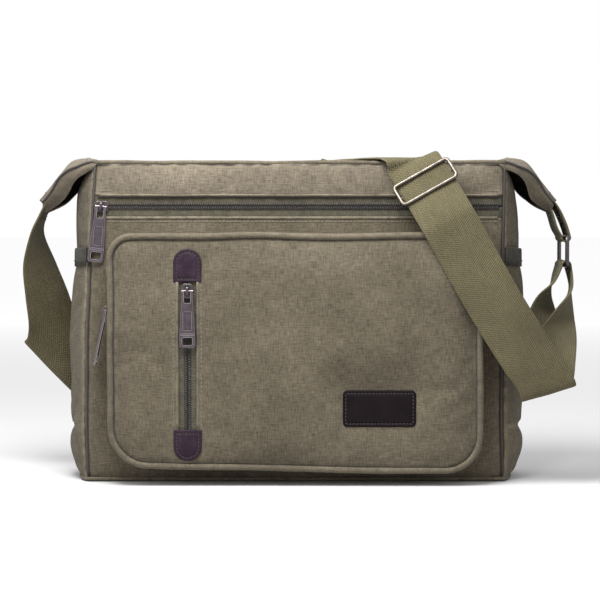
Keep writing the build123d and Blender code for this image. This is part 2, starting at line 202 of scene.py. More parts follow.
def threads(n, uv, pitch):
    """Plain weave from two sets of threads: height, 0 to 1."""
    split = n.add("ShaderNodeSeparateXYZ", None, Vector=uv)
    turn = 2 * pi / pitch
    warp = n.math("SINE", n.math("MULTIPLY", split.outputs[0], turn))
    weft = n.math("SINE", n.math("MULTIPLY", split.outputs[1], turn))
    return n.math("MULTIPLY_ADD", n.math("MULTIPLY", warp, weft), 0.5, False)


def canvas_material(name, light, dark, worn, pitch=0.0011, mottle=1.0):
    """Stone-washed plain weave: slubby threads, cloudy fading and paler, worn seams."""
    n = Nodes(name)
    uv = n.add("ShaderNodeUVMap", {"uv_map": "cloth"}).outputs[0]
    place = n.add("ShaderNodeTexCoord").outputs["Object"]
    across = n.noise(n.stretched(uv, (130, 980, 1)), 1.0, 3.0, 0.65)
    along = n.noise(n.stretched(uv, (980, 130, 1)), 1.0, 3.0, 0.65)
    slub = n.math("ADD", across, along)
    cloud = n.noise(place, 16.0, 4.0, 0.6)
    patch = n.noise(place, 75.0, 3.0, 0.6)
    speck = n.noise(place, 420.0, 2.0, 0.7)
    tone = n.math("ADD", n.ramp(cloud, 0.3, 0.7, 0.0, 0.55 * mottle), n.ramp(patch, 0.3, 0.7, 0.0, 0.3 * mottle))
    tone = n.math("ADD", tone, n.ramp(speck, 0.3, 0.7, -0.12, 0.12))
    colour = n.mix(n.math("MULTIPLY", tone, 1.0, True), dark, light)
    colour = n.scaled(colour, n.ramp(slub, 0.72, 1.28, 0.58, 1.42))
    wear = n.add("ShaderNodeAttribute", {"attribute_name": "wear"}).outputs["Fac"]
    frayed = n.math("MULTIPLY", wear, n.ramp(n.noise(place, 140.0, 4.0, 0.7), 0.36, 0.62, 0.0, 0.85), True)
    colour = n.mix(frayed, colour, worn)
    weave = threads(n, uv, pitch)
    height = n.math("ADD", n.math("MULTIPLY", weave, 0.45), n.math("MULTIPLY", slub, 0.55))
    return n.finish(colour, 0.92, height, 0.55, 0.0007, Sheen_Weight=0.04, Sheen_Roughness=0.6,
                    Specular_IOR_Level=0.08)


def webbing_material(name, light, dark):
    """Herringbone-ribbed cotton webbing: ribs along it, picks across it."""
    n = Nodes(name)
    uv = n.add("ShaderNodeUVMap", {"uv_map": "cloth"}).outputs[0]
    place = n.add("ShaderNodeTexCoord").outputs["Object"]
    split = n.add("ShaderNodeSeparateXYZ", None, Vector=uv)
    rib_turn, pick_turn, slant = 2 * pi / 0.0019, 2 * pi / 0.0017, 2 * pi / 0.0034
    ribs = n.math("SINE", n.math("MULTIPLY", split.outputs[0], rib_turn))
    fold = n.math("ABSOLUTE", n.math("SUBTRACT", split.outputs[0], 0.0225))
    diagonal = n.math("ADD", n.math("MULTIPLY", split.outputs[1], pick_turn), n.math("MULTIPLY", fold, slant))
    picks = n.math("SINE", diagonal)
    relief = n.math("ADD", n.math("MULTIPLY", ribs, 0.5), n.math("MULTIPLY", picks, 0.5))
    streak = n.noise(n.stretched(uv, (1400, 90, 1)), 1.0, 2.0, 0.6)
    grain = n.noise(place, 900.0, 2.0, 0.7)
    cloud = n.noise(place, 22.0, 3.0, 0.6)
    tone = n.math("ADD", n.ramp(cloud, 0.3, 0.7, 0.05, 0.6), n.ramp(streak, 0.3, 0.7, -0.15, 0.35))
    colour = n.mix(n.math("MULTIPLY", tone, 1.0, True), dark, light)
    # Painted shade and highlight: the colour follows the rib relief, darker in the grooves and lighter on the ridges.
    colour = n.scaled(colour, n.ramp(relief, -1.0, 1.0, 0.74, 1.22))
    colour = n.scaled(colour, n.ramp(grain, 0.3, 0.7, 0.82, 1.2))
    height = n.math("ADD", relief, grain)
    return n.finish(colour, 0.9, height, 0.6, 0.0006, Sheen_Weight=0.04, Sheen_Roughness=0.6,
                    Specular_IOR_Level=0.1)


def tape_material(name, light, dark, pitch=0.0012):
    """Finely ribbed woven tape."""
    n = Nodes(name)
    uv = n.add("ShaderNodeUVMap", {"uv_map": "cloth"}).outputs[0]
    place = n.add("ShaderNodeTexCoord").outputs["Object"]
    split = n.add("ShaderNodeSeparateXYZ", None, Vector=uv)
    ribs = n.math("SINE", n.math("MULTIPLY", split.outputs[1], 2 * pi / pitch))
    cross = n.math("SINE", n.math("MULTIPLY", split.outputs[0], 2 * pi / (pitch * 0.8)))
    relief = n.math("ADD", ribs, n.math("MULTIPLY", cross, 0.5))
    tone = n.ramp(n.noise(place, 160.0, 3.0, 0.6), 0.3, 0.7, 0.0, 1.0)
    # Painted shade and highlight: the colour follows the rib relief, darker in the grooves and lighter on the ridges.
    colour = n.scaled(n.mix(tone, dark, light), n.ramp(relief, -1.5, 1.5, 0.75, 1.2))
    return n.finish(colour, 0.85, relief, 0.5, 0.0004, Sheen_Weight=0.04, Specular_IOR_Level=0.25)


def leather_material(name, light, dark):
    """Smooth full-grain leather with fine pores, rubbed a little paler in patches."""
    n = Nodes(name)
    place = n.add("ShaderNodeTexCoord").outputs["Object"]
    cells = n.add("ShaderNodeTexVoronoi", {"feature": "DISTANCE_TO_EDGE"}, Vector=place, Scale=850.0)
    pores = n.ramp(cells.outputs["Distance"], 0.0, 0.18, 0.0, 1.0)
    cloud = n.noise(place, 90.0, 4.0, 0.65)
    rubbed = n.noise(place, 320.0, 3.0, 0.7)
    tone = n.math("MULTIPLY", n.ramp(cloud, 0.35, 0.7, 0.1, 1.0), n.ramp(rubbed, 0.3, 0.7, 0.4, 1.0), True)
    colour = n.mix(tone, dark, light)
    rough = n.ramp(cloud, 0.3, 0.7, 0.5, 0.68)
    height = n.math("ADD", n.math("MULTIPLY", pores, 0.5), rubbed)
    return n.finish(colour, rough, height, 0.35, 0.0004, Specular_IOR_Level=0.1)


def metal_material(name, light, dark, low_rough, high_rough, rubbed=0.7, metallic=1.0):
    """Plated metal: painted shade in the recesses, rubbed edges brightened with a painted edge highlight, and fine
    scratches.
    """
    n = Nodes(name)
    place = n.add("ShaderNodeTexCoord").outputs["Object"]
    cloud = n.noise(place, 130.0, 3.0, 0.6)
    scratch = n.noise(n.stretched(place, (2600, 260, 500)), 1.0, 2.0, 0.6)
    # Painted shade: ambient occlusion darkens the colour in recesses and hollows.
    painted_recess_shade = n.add("ShaderNodeAmbientOcclusion", {"samples": 8, "only_local": True}, Distance=0.0022).outputs["AO"]
    # Edge mask for brightened convex edges: partly rubbed wear, partly a painted edge highlight.
    edge = n.add("ShaderNodeAmbientOcclusion", {"samples": 8, "inside": True, "only_local": True},
                 Distance=0.0010).outputs["AO"]
    tone = n.math("MULTIPLY", n.ramp(cloud, 0.25, 0.75, 0.2, 0.8), n.ramp(painted_recess_shade, 0.55, 1.0, 0.0, 1.0))
    colour = n.mix(tone, dark, light)
    rubbed_edge_highlight = tuple(min(channel * 2.6 + 0.1, 0.95) for channel in light[:3]) + (1.0,)
    colour = n.mix(n.ramp(edge, 0.35, 0.9, rubbed, 0.0), colour, rubbed_edge_highlight)
    rough = n.math("ADD", n.ramp(cloud, 0.3, 0.7, high_rough, low_rough), n.ramp(scratch, 0.3, 0.7, -0.05, 0.08))
    return n.finish(colour, rough, n.math("ADD", n.math("MULTIPLY", scratch, 0.4), cloud), 0.1, 0.0003,
                    Metallic=metallic)


def thread_material(name, light, dark):
    """Twisted sewing thread."""
    n = Nodes(name)
    place = n.add("ShaderNodeTexCoord").outputs["Object"]
    twist = n.noise(place, 1500.0, 2.0, 0.6)
    colour = n.mix(n.ramp(twist, 0.3, 0.7, 0.0, 1.0), dark, light)
    return n.finish(colour, 0.8, twist, 0.4, 0.0002, Sheen_Weight=0.04)


def make_materials():
    found = {
        "canvas": canvas_material("canvas", rgba(0.118, 0.100, 0.071), rgba(0.062, 0.052, 0.036),
                                  rgba(0.175, 0.152, 0.113)),
        # The canvas painted lighter: a painted highlight for the yoke, top panels, yoke fold and ears, which face up
        # towards the lights.
        "canvas_top_painted_lit": canvas_material("canvas_top_painted_lit", rgba(0.150, 0.127, 0.094), rgba(0.088, 0.074, 0.054),
                                      rgba(0.19, 0.166, 0.125)),
        "webbing": webbing_material("webbing", rgba(0.115, 0.100, 0.055), rgba(0.064, 0.055, 0.030)),
        "tape": tape_material("tape", rgba(0.085, 0.076, 0.052), rgba(0.045, 0.041, 0.027)),
        "binding": tape_material("binding", rgba(0.040, 0.037, 0.028), rgba(0.020, 0.020, 0.015), 0.0016),
        # Near-black: painted shade for the hollow inside the ears.
        "shade_lining": tape_material("shade_lining", rgba(0.022, 0.020, 0.017), rgba(0.009, 0.008, 0.007), 0.0009),
        "lining": tape_material("lining", rgba(0.20, 0.19, 0.15), rgba(0.13, 0.12, 0.10), 0.0008),
        "leather": leather_material("leather", rgba(0.036, 0.020, 0.033), rgba(0.013, 0.007, 0.012)),
        "leather_dark": leather_material("leather_dark", rgba(0.009, 0.0045, 0.0065), rgba(0.0025, 0.0013, 0.0018)),
        "gunmetal": metal_material("gunmetal", rgba(0.165, 0.140, 0.155), rgba(0.040, 0.033, 0.038), 0.26, 0.4, 0.95),
        "nickel": metal_material("nickel", rgba(0.19, 0.165, 0.14), rgba(0.055, 0.046, 0.04), 0.4, 0.52, 0.1),
        "dark_ring": metal_material("dark_ring", rgba(0.13, 0.115, 0.115), rgba(0.04, 0.034, 0.036), 0.32, 0.45, 0.25),
        "teeth": metal_material("teeth", rgba(0.06, 0.053, 0.05), rgba(0.018, 0.016, 0.016), 0.35, 0.5, 0.05, 0.5),
        "thread": thread_material("thread", rgba(0.155, 0.134, 0.097), rgba(0.09, 0.077, 0.055)),
        "dark_thread": thread_material("dark_thread", rgba(0.040, 0.032, 0.028), rgba(0.018, 0.014, 0.012)),
        "board": metal_material("board", rgba(0.05, 0.05, 0.05), rgba(0.03, 0.03, 0.03), 0.5, 0.7, 0.0, 0.0),
    }
    return found


def add_piece(name, points, faces, material, body=BAG, uvs=None, wear=None):
    """Mesh object from points in millimetres, with cloth coordinates in metres, riding on a body."""
    mesh = bpy.data.meshes.new(name)
    mesh.from_pydata([Vector(p) * MM for p in points], [], faces)
    mesh.materials.append(MATERIALS[material])
    for polygon in mesh.polygons:
        polygon.use_smooth = True
    if uvs:
        layer = mesh.uv_layers.new(name="cloth")
        for loop in mesh.loops:
            u, v = uvs[loop.vertex_index]
            layer.data[loop.index].uv = (u * MM, v * MM)
    shade = mesh.attributes.new("wear", "FLOAT", "POINT")
    if wear:
        shade.data.foreach_set("value", wear)
    mesh.validate()
    piece = bpy.data.objects.new(name, mesh)
    bpy.context.scene.collection.objects.link(piece)
    if body:
        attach(piece, body)
    return piece


def lines(low, high, step, stops=()):
    """Grid positions from low to high about step apart, with one on every stop."""
    marks = sorted({low, high, *[stop for stop in stops if low < stop < high]})
    found = []
    for a, b in zip(marks, marks[1:]):
        count = max(1, round((b - a) / step))
        found += [a + (b - a) * i / count for i in range(count)]
    return found + [high]


def sheet_piece(name, us, vs, place, material, skip=None, wear=None, body=BAG, flip=False, uv=None):
    """Open sheet over a grid: place(u, v) gives each point and skip(u, v) leaves a cell out."""
    points = [place(u, v) for v in vs for u in us]
    uvs = [uv(u, v) if uv else (u, v) for v in vs for u in us]
    worn = [wear(u, v) for v in vs for u in us] if wear else None
    wide = len(us)
    faces = []
    for j in range(len(vs) - 1):
        for i in range(wide - 1):
            if skip and skip((us[i] + us[i + 1]) / 2, (vs[j] + vs[j + 1]) / 2):
                continue
            a = j * wide + i
            loop = (a, a + 1, a + 1 + wide, a + wide)
            faces.append(loop[::-1] if flip else loop)
    piece = add_piece(name, points, faces, material, body, uvs, worn)
    if skip:
        drop_loose(piece)
    return piece


def drop_loose(piece):
    """Removes points that no face uses."""
    import bmesh
    work = bmesh.new()
    work.from_mesh(piece.data)
    loose = [v for v in work.verts if not v.link_faces]
    for vert in loose:
        work.verts.remove(vert)
    work.to_mesh(piece.data)
    work.free()


def thicken(piece, thick, levels=1, offset=-1.0):
    """Smooths a sheet and gives it its cloth thickness, in millimetres."""
    if levels:
        smooth = piece.modifiers.new("smooth", "SUBSURF")
        smooth.levels = smooth.render_levels = levels
        smooth.boundary_smooth = "PRESERVE_CORNERS"
    solid = piece.modifiers.new("cloth", "SOLIDIFY")
    solid.thickness = thick * MM
    solid.offset = offset
    solid.use_even_offset = False
    return piece


def settle(piece, pinned, slack, push, cap, frames=22, stiff=8.0):
    """Lets a sewn panel find its own bulges and creases as cloth held along its seams."""
    scene = bpy.context.scene
    mesh = piece.data
    rest = [v.co.copy() for v in mesh.vertices]
    seams = piece.vertex_groups.new(name="seams")
    seams.add([v.index for v in mesh.vertices if pinned(v.co / MM)], 1.0, "REPLACE")
    cloth = piece.modifiers.new("settle", "CLOTH")
    settings = cloth.settings
    settings.quality = 6
    settings.mass = 0.25
    settings.tension_stiffness = settings.compression_stiffness = stiff
    settings.shear_stiffness = stiff / 2
    settings.bending_stiffness = 0.4
    settings.air_damping = 2.0
    settings.shrink_min = -slack
    settings.vertex_group_mass = "seams"
    cloth.collision_settings.use_collision = False
    scene.gravity = push
    for step in range(1, frames + 1):
        scene.frame_set(step)
    shape = piece.evaluated_get(bpy.context.evaluated_depsgraph_get()).to_mesh()
    moved = [v.co.copy() for v in shape.vertices]
    piece.modifiers.remove(cloth)
    scene.frame_set(1)
    piece.vertex_groups.remove(seams)
    for vertex, start, end in zip(mesh.vertices, rest, moved):
        step = end - start
        if step.length > cap * MM:
            step *= cap * MM / step.length
        vertex.co = start + step
    mesh.update()
    return piece


def ripple(x, y, z, size, seed=0.0):
    """Smooth noise, about -1 to 1, of a given size in millimetres."""
    return noise.noise(Vector((x / size + seed, y / size - 1.7 * seed, z / size + 2.3 * seed)))


def smooth_step(value):
    value = min(max(value, 0.0), 1.0)
    return value * value * (3 - 2 * value)


def tube(name, path, radius, material, body=BAG, closed=False, sides=10, lumps=0.0, wear=0.0):
    """Round cord along a path, in millimetres."""
    count = len(path)
    points, uvs = [], []
    normal = Vector((0.123, 0.456, 0.789))
    run = 0.0
    for i, point in enumerate(path):
        before = path[(i - 1) % count] if closed or i else path[0]
        after = path[(i + 1) % count] if closed or i < count - 1 else path[-1]
        along = (Vector(after) - Vector(before)).normalized()
        normal = (normal - along * normal.dot(along)).normalized()
        side = along.cross(normal)
        size = radius * (1 + lumps * ripple(*point, 9.0, 3.1))
        if i:
            run += (Vector(point) - Vector(path[i - 1])).length
        for k in range(sides):
            angle = 2 * pi * k / sides
            points.append(Vector(point) + (normal * cos(angle) + side * sin(angle)) * size)
            uvs.append((radius * angle, run))
    faces = []
    for i in range(count if closed else count - 1):
        for k in range(sides):
            a, b = i * sides + k, i * sides + (k + 1) % sides
            c, d = ((i + 1) % count) * sides + (k + 1) % sides, ((i + 1) % count) * sides + k
            faces.append((a, b, c, d))
    if not closed:
        faces.append(tuple(range(sides))[::-1])
        faces.append(tuple((count - 1) * sides + k for k in range(sides)))
    return add_piece(name, points, faces, material, body, uvs, [wear] * len(points))


def along_path(path, pitch, closed=False):
    """Evenly spaced (point, direction) pairs along a path."""
    corners = [Vector(p) for p in path]
    if closed:
        corners.append(corners[0])
    total = sum((b - a).length for a, b in zip(corners, corners[1:]))
    gap = total / max(1, floor(total / pitch))
    found, left = [], gap / 2
    for a, b in zip(corners, corners[1:]):
        length = (b - a).length
        if length < 1e-6:
            continue
        direction = (b - a) / length
        while left <= length:
            found.append((a + direction * left, direction))
            left += gap
        left -= length
    return found


def stitches(name, paths, outward, material="thread", pitch=3.4, length=2.4, radius=0.42, body=BAG):
    """Row of sewn stitches: a small flattened capsule at every step of each path."""
    points, faces = [], []
    rings = [(-0.5, 0.25), (-0.32, 0.9), (0.0, 1.0), (0.32, 0.9), (0.5, 0.25)]
    sides = 6
    for path in paths:
        for centre, along in along_path(path, pitch):
            up = Vector(outward(centre) if callable(outward) else outward)
            up = (up - along * up.dot(along)).normalized()
            side = along.cross(up)
            base = len(points)
            for share, size in rings:
                for k in range(sides):
                    angle = 2 * pi * k / sides
                    offset = side * cos(angle) * size * radius + up * sin(angle) * size * radius * 0.8
                    points.append(centre + along * share * length + offset)
            for i in range(len(rings) - 1):
                for k in range(sides):
                    a, b = base + i * sides + k, base + i * sides + (k + 1) % sides
                    faces.append((a, b, b + sides, a + sides))
            faces.append(tuple(base + k for k in range(sides))[::-1])
            faces.append(tuple(base + (len(rings) - 1) * sides + k for k in range(sides)))
    return add_piece(name, points, faces, material, body)


def rounded_outline(low, high, top_radius, bottom_radius, arc_steps=10, side_steps=24):
    """Closed outline of a rounded rectangle in X and Z, anticlockwise from the bottom left."""
    corners = [((low[0], low[1]), bottom_radius, 180), ((high[0], low[1]), bottom_radius, 270),
               ((high[0], high[1]), top_radius, 0), ((low[0], high[1]), top_radius, 90)]
    arcs = []
    for (x, z), radius, start in corners:
        cx = x + radius if x == low[0] else x - radius
        cz = z + radius if z == low[1] else z - radius
        arcs.append([(cx + radius * cos(radians(start + 90 * i / arc_steps)),
                      cz + radius * sin(radians(start + 90 * i / arc_steps))) for i in range(arc_steps + 1)])
    outline = []
    for i, arc in enumerate(arcs):
        outline += arc
        last, following = arc[-1], arcs[(i + 1) % 4][0]
        for k in range(1, side_steps):
            share = k / side_steps
            outline.append((last[0] + (following[0] - last[0]) * share, last[1] + (following[1] - last[1]) * share))
    return outline


MATERIALS = make_materials()
make_stage()


# ---------------------------------------------------------------- shape of the bag
def between(value, marks):
    """Smooth interpolation through (position, value) pairs."""
    if value <= marks[0][0]:
        return marks[0][1]
    for (a, start), (b, end) in zip(marks, marks[1:]):
        if value <= b:
            return start + (end - start) * smooth_step((value - a) / (b - a))
    return marks[-1][1]


LEFT_CORNER = [(0, -174.5), (40, -175.5), (110, -175), (180, -172.5), (264, -168)]
RIGHT_CORNER = [(0, 170), (60, 168.5), (150, 169), (264, 171)]


def corner_x(side, z):
    """Where the front corner seam runs, which leans in a little towards the top."""
    return between(z, LEFT_CORNER if side < 0 else RIGHT_CORNER)


def wall_x(u, z):
    """X of a point on the front or back wall, u being -171 to 171 across it."""
    left, right = corner_x(-1, z), corner_x(1, z)
    return (left + right) / 2 + u / SEAM_X * (right - left) / 2


def roll_in(u, half, reach=5.0, depth=2.6):
    """How far a panel turns in beside the seam at its edge."""
    near = 1 - (half - abs(u)) / reach
    return depth * near * near if near > 0 else 0.0


def edge_wear(u, half, reach=3.5):
    """1 at an edge, fading to 0."""
    return max(0.0, 1 - (half - abs(u)) / reach)


def wall_y(u, z, sign):
    """Depth of the front (sign -1) or back (sign 1) wall."""
    lean = between(z, [(0, 0.0), (190, 0.0), (266, -1.6)])
    soft = 1.1 * ripple(u, sign * 50, z, 60, 4.0) + 0.5 * ripple(u, sign * 50, z, 23, 7.0)
    fade = smooth_step((SEAM_X - abs(u)) / 20)
    return sign * (BACK_Y + lean + soft * fade - roll_in(u, SEAM_X))


def make_walls():
    """Front panel below the yoke zip, yoke above it, and the plain back."""
    us = lines(-SEAM_X, SEAM_X, 5.0, (-168, 168))
    slot_low, slot_high = FRONT_HIGH.z, YOKE_LOW.z

    def front(u, z):
        base = roll_in(z - 60, 58, 6, 2.0) if z < 60 else 0
        return wall_x(u, z), wall_y(u, z, -1) + base, z

    lower = sheet_piece("canvas_front_panel", us, lines(1.0, slot_low, 5.0, (slot_low - 3,)), front, "canvas",
                        wear=lambda u, z: max(edge_wear(u, SEAM_X), 1 - abs(z - slot_low) / 3, 0.0))
    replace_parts(thicken(lower, 1.4), "front_panel")

    def yoke(u, z):
        fall = 0.7 * ripple(u, 0, z * 0.4, 34, 2.0) * smooth_step((YOKE_HIGH.z - z) / 8)
        welt = 1.0 * smooth_step(1 - (z - slot_high) / 5)
        return wall_x(u, z), wall_y(u, z, -1) - 0.5 - welt - fall, z

    # The yoke uses the canvas painted lighter, a painted highlight for its upward-facing slope.
    upper = sheet_piece("canvas_yoke", us, lines(slot_high, RIM_Z + 0.6, 3.2, (slot_high + 3,)), yoke, "canvas_top_painted_lit",
                        wear=lambda u, z: max(edge_wear(u, SEAM_X), 1 - abs(z - slot_high) / 3,
                                              1 - (RIM_Z - z) / 4, 0.0))
    settle(upper, lambda p: abs(p.x) > 160 or p.z > RIM_Z - 1 or p.z < slot_high + 1.5, 0.012,
           (0, -5.0, -3.0), 2.2)
    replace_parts(thicken(upper, 1.5), "front_yoke")

    def back(u, z):
        return wall_x(-u, z), wall_y(u, z, 1), z

    slot = span("back_zip_tapes")
    half_slot, low, high = 115.0, slot[0].z + 3.2, slot[1].z - 3.2
    skip = lambda u, z: abs(u) < half_slot and low < z < high
    rear = sheet_piece("canvas_back_panel", lines(-SEAM_X, SEAM_X, 6.0, (-half_slot, half_slot, -168, 168)),
                       lines(1.0, RIM_Z + 0.6, 5.0, (low, high, low - 3, high + 3)), back, "canvas", skip,
                       wear=lambda u, z: max(edge_wear(u, SEAM_X), 1 - (RIM_Z - z) / 4, 0.0))
    settle(rear, lambda p: abs(p.x) > 163 or p.z > RIM_Z - 2 or p.z < 4 or
           (abs(p.x) < half_slot + 4 and low - 4 < p.z < high + 4), 0.008, (0, 4.0, -2.0), 3.0)
    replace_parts(thicken(rear, 1.4), "back_panel")
    return lower, upper, rear


GUSSET_BULGE = {-1: [(0, 9.0), (150, 11.0), (190, 12.5), (241, 16.0), (255, 12.0), (263, 4.0)],
                1: [(0, 9.0), (150, 12.0), (199, 15.5), (241, 11.5), (255, 8.0), (263, 3.0)]}
POCKET_BULGE = {-1: [(0, 10.0), (30, 14.5), (48, 14.0), (110, 14.8), (160, 14.0), (196, 13.5)],
                1: [(0, 11.0), (30, 18.5), (48, 18.5), (110, 20.0), (160, 18.5), (196, 16.5)]}


def round_depth(y):
    """Bulge profile across the depth of the bag, 0 at the corner seams and 1 in the middle."""
    return (1 - abs(y / BACK_Y) ** 2.6) ** 0.8 if abs(y) < BACK_Y else 0.0


def make_sides():
    """Gussets with their open slip pockets and the tape that binds the pocket mouths."""
    made = []
    for side, word in ((-1, "left"), (1, "right")):
        def gusset(y, z):
            bulge = between(z, GUSSET_BULGE[side]) + 1.6 * ripple(side * 30, y, z, 32, side)
            crease = 2.2 * max(0.0, 1 - abs(y + 6 * side) / 9) * smooth_step((z - 185) / 60)
            return corner_x(side, z) + side * (bulge * round_depth(y) - crease), y, z

        wall = sheet_piece(f"canvas_{word}_gusset", lines(-BACK_Y + 1.5, BACK_Y - 1.5, 3.6), lines(1.0, 263.0, 4.4),
                           gusset, "canvas", wear=lambda y, z: edge_wear(y, BACK_Y, 4), flip=side < 0)
        settle(wall, lambda p: abs(p.y) > 40 or p.z < 3 or p.z > 258, 0.012, (side * 4.0, 0, -3.0), 3.0)
        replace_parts(thicken(wall, 1.4), f"{word}_gusset")

        half = BACK_Y - 0.8
        top = SIDE_HIGH.z

        def pocket(y, z):
            bulge = between(z, POCKET_BULGE[side]) + 1.3 * ripple(side * 70, y, z, 36, 2 + side)
            pinch = 2.4 * max(0.0, 1 - abs(z - 45) / 3.2)
            droop = 2.0 * max(0.0, 1 - abs(z - 30 - 0.45 * abs(y)) / 9) - 2.4 * max(0.0, 1 - abs(z - 14) / 8)
            turn = smooth_step(1 - (z - 2) / 7) * 5.5
            sag = 1.6 * cos(y / BACK_Y * pi / 2) * smooth_step((z - 130) / 50)
            return (corner_x(side, z) + side * ((bulge - pinch + droop - turn) * round_depth(y) + 1.6), y, z - sag)

        pouch = sheet_piece(f"canvas_{word}_side_pocket", lines(-half, half, 3.4), lines(1.0, top, 3.4, (45,)),
                            pocket, "canvas", wear=lambda y, z: max(edge_wear(y, half, 4), 1 - abs(z - 45) / 2.5, 0),
                            flip=side < 0)
        settle(pouch, lambda p: abs(p.y) > 39 or p.z < 3 or p.z > top - 4 or abs(p.z - 45) < 1.2, 0.018,
               (side * 3.0, 0, -6.0), 3.4, stiff=6.0)
        thicken(pouch, 1.5)
        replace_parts(pouch, f"{word}_side_pocket")

        def tape(v, y):
            height = BINDING_HIGH.z - top + 2.5
            x, _, z = pocket(y, top - 1)
            return x + side * (1.7 * cos(pi * v) + 0.3), y, z - 1.5 + height * (1 - abs(2 * v - 1) ** 8)

        band = sheet_piece(f"tape_{word}_pocket_binding", [0, 0.06, 0.14, 0.25, 0.4, 0.5, 0.6, 0.75, 0.86, 0.94, 1],
                           lines(-half - 0.8, half + 0.8, 3.4), tape, "binding", flip=side > 0)
        thicken(band, 0.8)
        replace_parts(band, f"{word}_pocket_binding")
        outward = lambda p: (side, 0, 0)
        seam = [(pocket(y, 48.5)[0] + side * 0.9, y, 48.5) for y in lines(-40, 40, 3.0)]
        edge = [(pocket(y, top - 1)[0] + side * 2.25, y, top + 1.0) for y in lines(-42, 42, 3.0)]
        stitches(f"stitches_{word}_side", [seam], outward)
        stitches(f"stitches_{word}_binding", [edge], outward, "dark_thread")
        made += [wall, pouch, band]
    return made


def top_height(x, y):
    """Height of the top panels: they rise softly inside the rim and dip to the zip."""
    near = abs(y)
    rise = 6.0 * sin(pi * min(max((44 - near) / 30, 0.0), 1.0)) * (0.75 + 0.25 * ripple(x, y, 0, 50, 2.5))
    pressed = smooth_step(1 - abs(x - 67 + 0.49 * y) / 55)
    dip = 6.4 * smooth_step((24 - near) / 15)
    fade = smooth_step((176 - abs(x)) / 12)
    return RIM_Z + 0.9 + rise * (1 - 0.65 * pressed) * fade - dip + 0.9 * ripple(x, y, 3, 38, 5.5) * fade


def make_top():
    """Two top panels either side of the top zip, and the piping round the rim."""
    inner, outer = 9.0, 44.0
    us = lines(-174.0, 174.0, 5.0, (-168, 168))
    for sign, word in ((-1, "front"), (1, "back")):
        def place(x, y):
            depth = sign * y
            return x * 0.99, depth, top_height(x, depth)

        # The top panels use the canvas painted lighter, a painted highlight for faces turned up to the light.
        panel = sheet_piece(f"canvas_top_panel_{word}", us, lines(inner, outer, 3.5), place, "canvas_top_painted_lit",
                            wear=lambda x, y: max(1 - (y - inner) / 3, 1 - (outer - y) / 4, 0.0), flip=sign < 0)
        settle(panel, lambda p: abs(p.y) > 42 or abs(p.y) < 10.5 or abs(p.x) > 168, 0.012, (0, 0, -5.0), 2.5)
        thicken(panel, 1.4)
        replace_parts(panel, f"top_panel_{word}")
    rim = []
    for sign in (-1, 1):
        path = [(wall_x(u, RIM_Z), sign * (43.4 + 0.3 * ripple(u, sign, 0, 20)), RIM_Z + 1.0 + 0.7 * ripple(u, 9 * sign, 0, 45))
                for u in lines(-172, 172, 5.0)]
        rim.append(tube(f"piping_rim_{'front' if sign < 0 else 'back'}", path, 1.7, "canvas", lumps=0.12, wear=0.25))
    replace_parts(rim[0], "rim_piping")
    return rim


def make_base():
    """Bottom panel with its seam standing a little proud all round."""
    us = lines(-SEAM_X, SEAM_X, 9.0)

    def place(u, y):
        left, right = corner_x(-1, 0), corner_x(1, 0)
        swell = 9.5 * round_depth(y)
        x = (left + right) / 2 + u / SEAM_X * ((right - left) / 2 + swell)
        return x, y, 0.5 + 0.4 * ripple(u, y, 0, 30) ** 2

    base = sheet_piece("canvas_base_panel", us, lines(-BACK_Y + 0.5, BACK_Y - 0.5, 6.0), place, "canvas", flip=True)
    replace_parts(thicken(base, 1.4, offset=-1.0), "base_panel")
    ring = [place(u, -BACK_Y + 0.5) for u in us] + [place(SEAM_X, y) for y in lines(-BACK_Y + 3, BACK_Y - 3, 5.0)]
    ring += [place(u, BACK_Y - 0.5) for u in reversed(us)]
    ring += [place(-SEAM_X, y) for y in reversed(lines(-BACK_Y + 3, BACK_Y - 3, 5.0))]
    path = [(x, y, 1.9) for x, y, _ in ring]
    tube("canvas_base_seam", path, 1.6, "canvas", closed=True, lumps=0.1, wear=0.4)
    return base


def make_seam_shadows():
    """Painted shadow lines: thin dark tubes in the seam grooves at the four corners, under the rim and under the fold
    above the yoke zip.
    """
    heights = lines(3, RIM_Z - 1, 6)
    for side, word in ((-1, "left"), (1, "right")):
        for sign, face in ((-1, "front"), (1, "back")):
            path = [(corner_x(side, z) + side * 0.2, sign * (BACK_Y - 1.0), z) for z in heights]
            tube(f"seam_{word}_{face}", path, 0.9, "dark_thread", lumps=0.2, sides=8)
    us = lines(-168, 168, 6.0)
    for sign, face in ((-1, "front"), (1, "back")):
        path = [(wall_x(u, RIM_Z), wall_y(u, RIM_Z, sign) + sign * 0.35, RIM_Z - 1.2) for u in us]
        tube(f"seam_rim_{face}", path, 0.7, "dark_thread", lumps=0.2, sides=8)
    # Painted shadow under the lip of the fold above the yoke zip.
    welt = YOKE_LOW.z - 1.3
    tube("seam_yoke", [(wall_x(u, welt), wall_y(u, welt, -1) - 0.5, welt) for u in us], 0.8, "dark_thread",
         lumps=0.2, sides=8)


walls = make_walls()
make_seam_shadows()
sides = make_sides()
make_top()
make_base()


# ---------------------------------------------------------------- box pocket
BOX_LEFT, BOX_RIGHT = POCKET_LOW.x + 0.5, POCKET_HIGH.x - 0.5
BOX_LOW, BOX_HIGH = POCKET_LOW.z + 0.5, POCKET_HIGH.z - 0.5
BOX_TOP_RADIUS, BOX_LOW_RADIUS = 20.0, 32.0
BOX_FACE = FACE_LOW.y
ZIP_X, ZIP_LOW, ZIP_HIGH, SLOT_HALF = -90.0, 44.0, 170.0, 8.4


def box_outline(inset, side_steps=34):
    low, high = (BOX_LEFT + inset, BOX_LOW + inset), (BOX_RIGHT - inset, BOX_HIGH - inset)
    return rounded_outline(low, high, BOX_TOP_RADIUS - inset, BOX_LOW_RADIUS - inset, 10, side_steps)


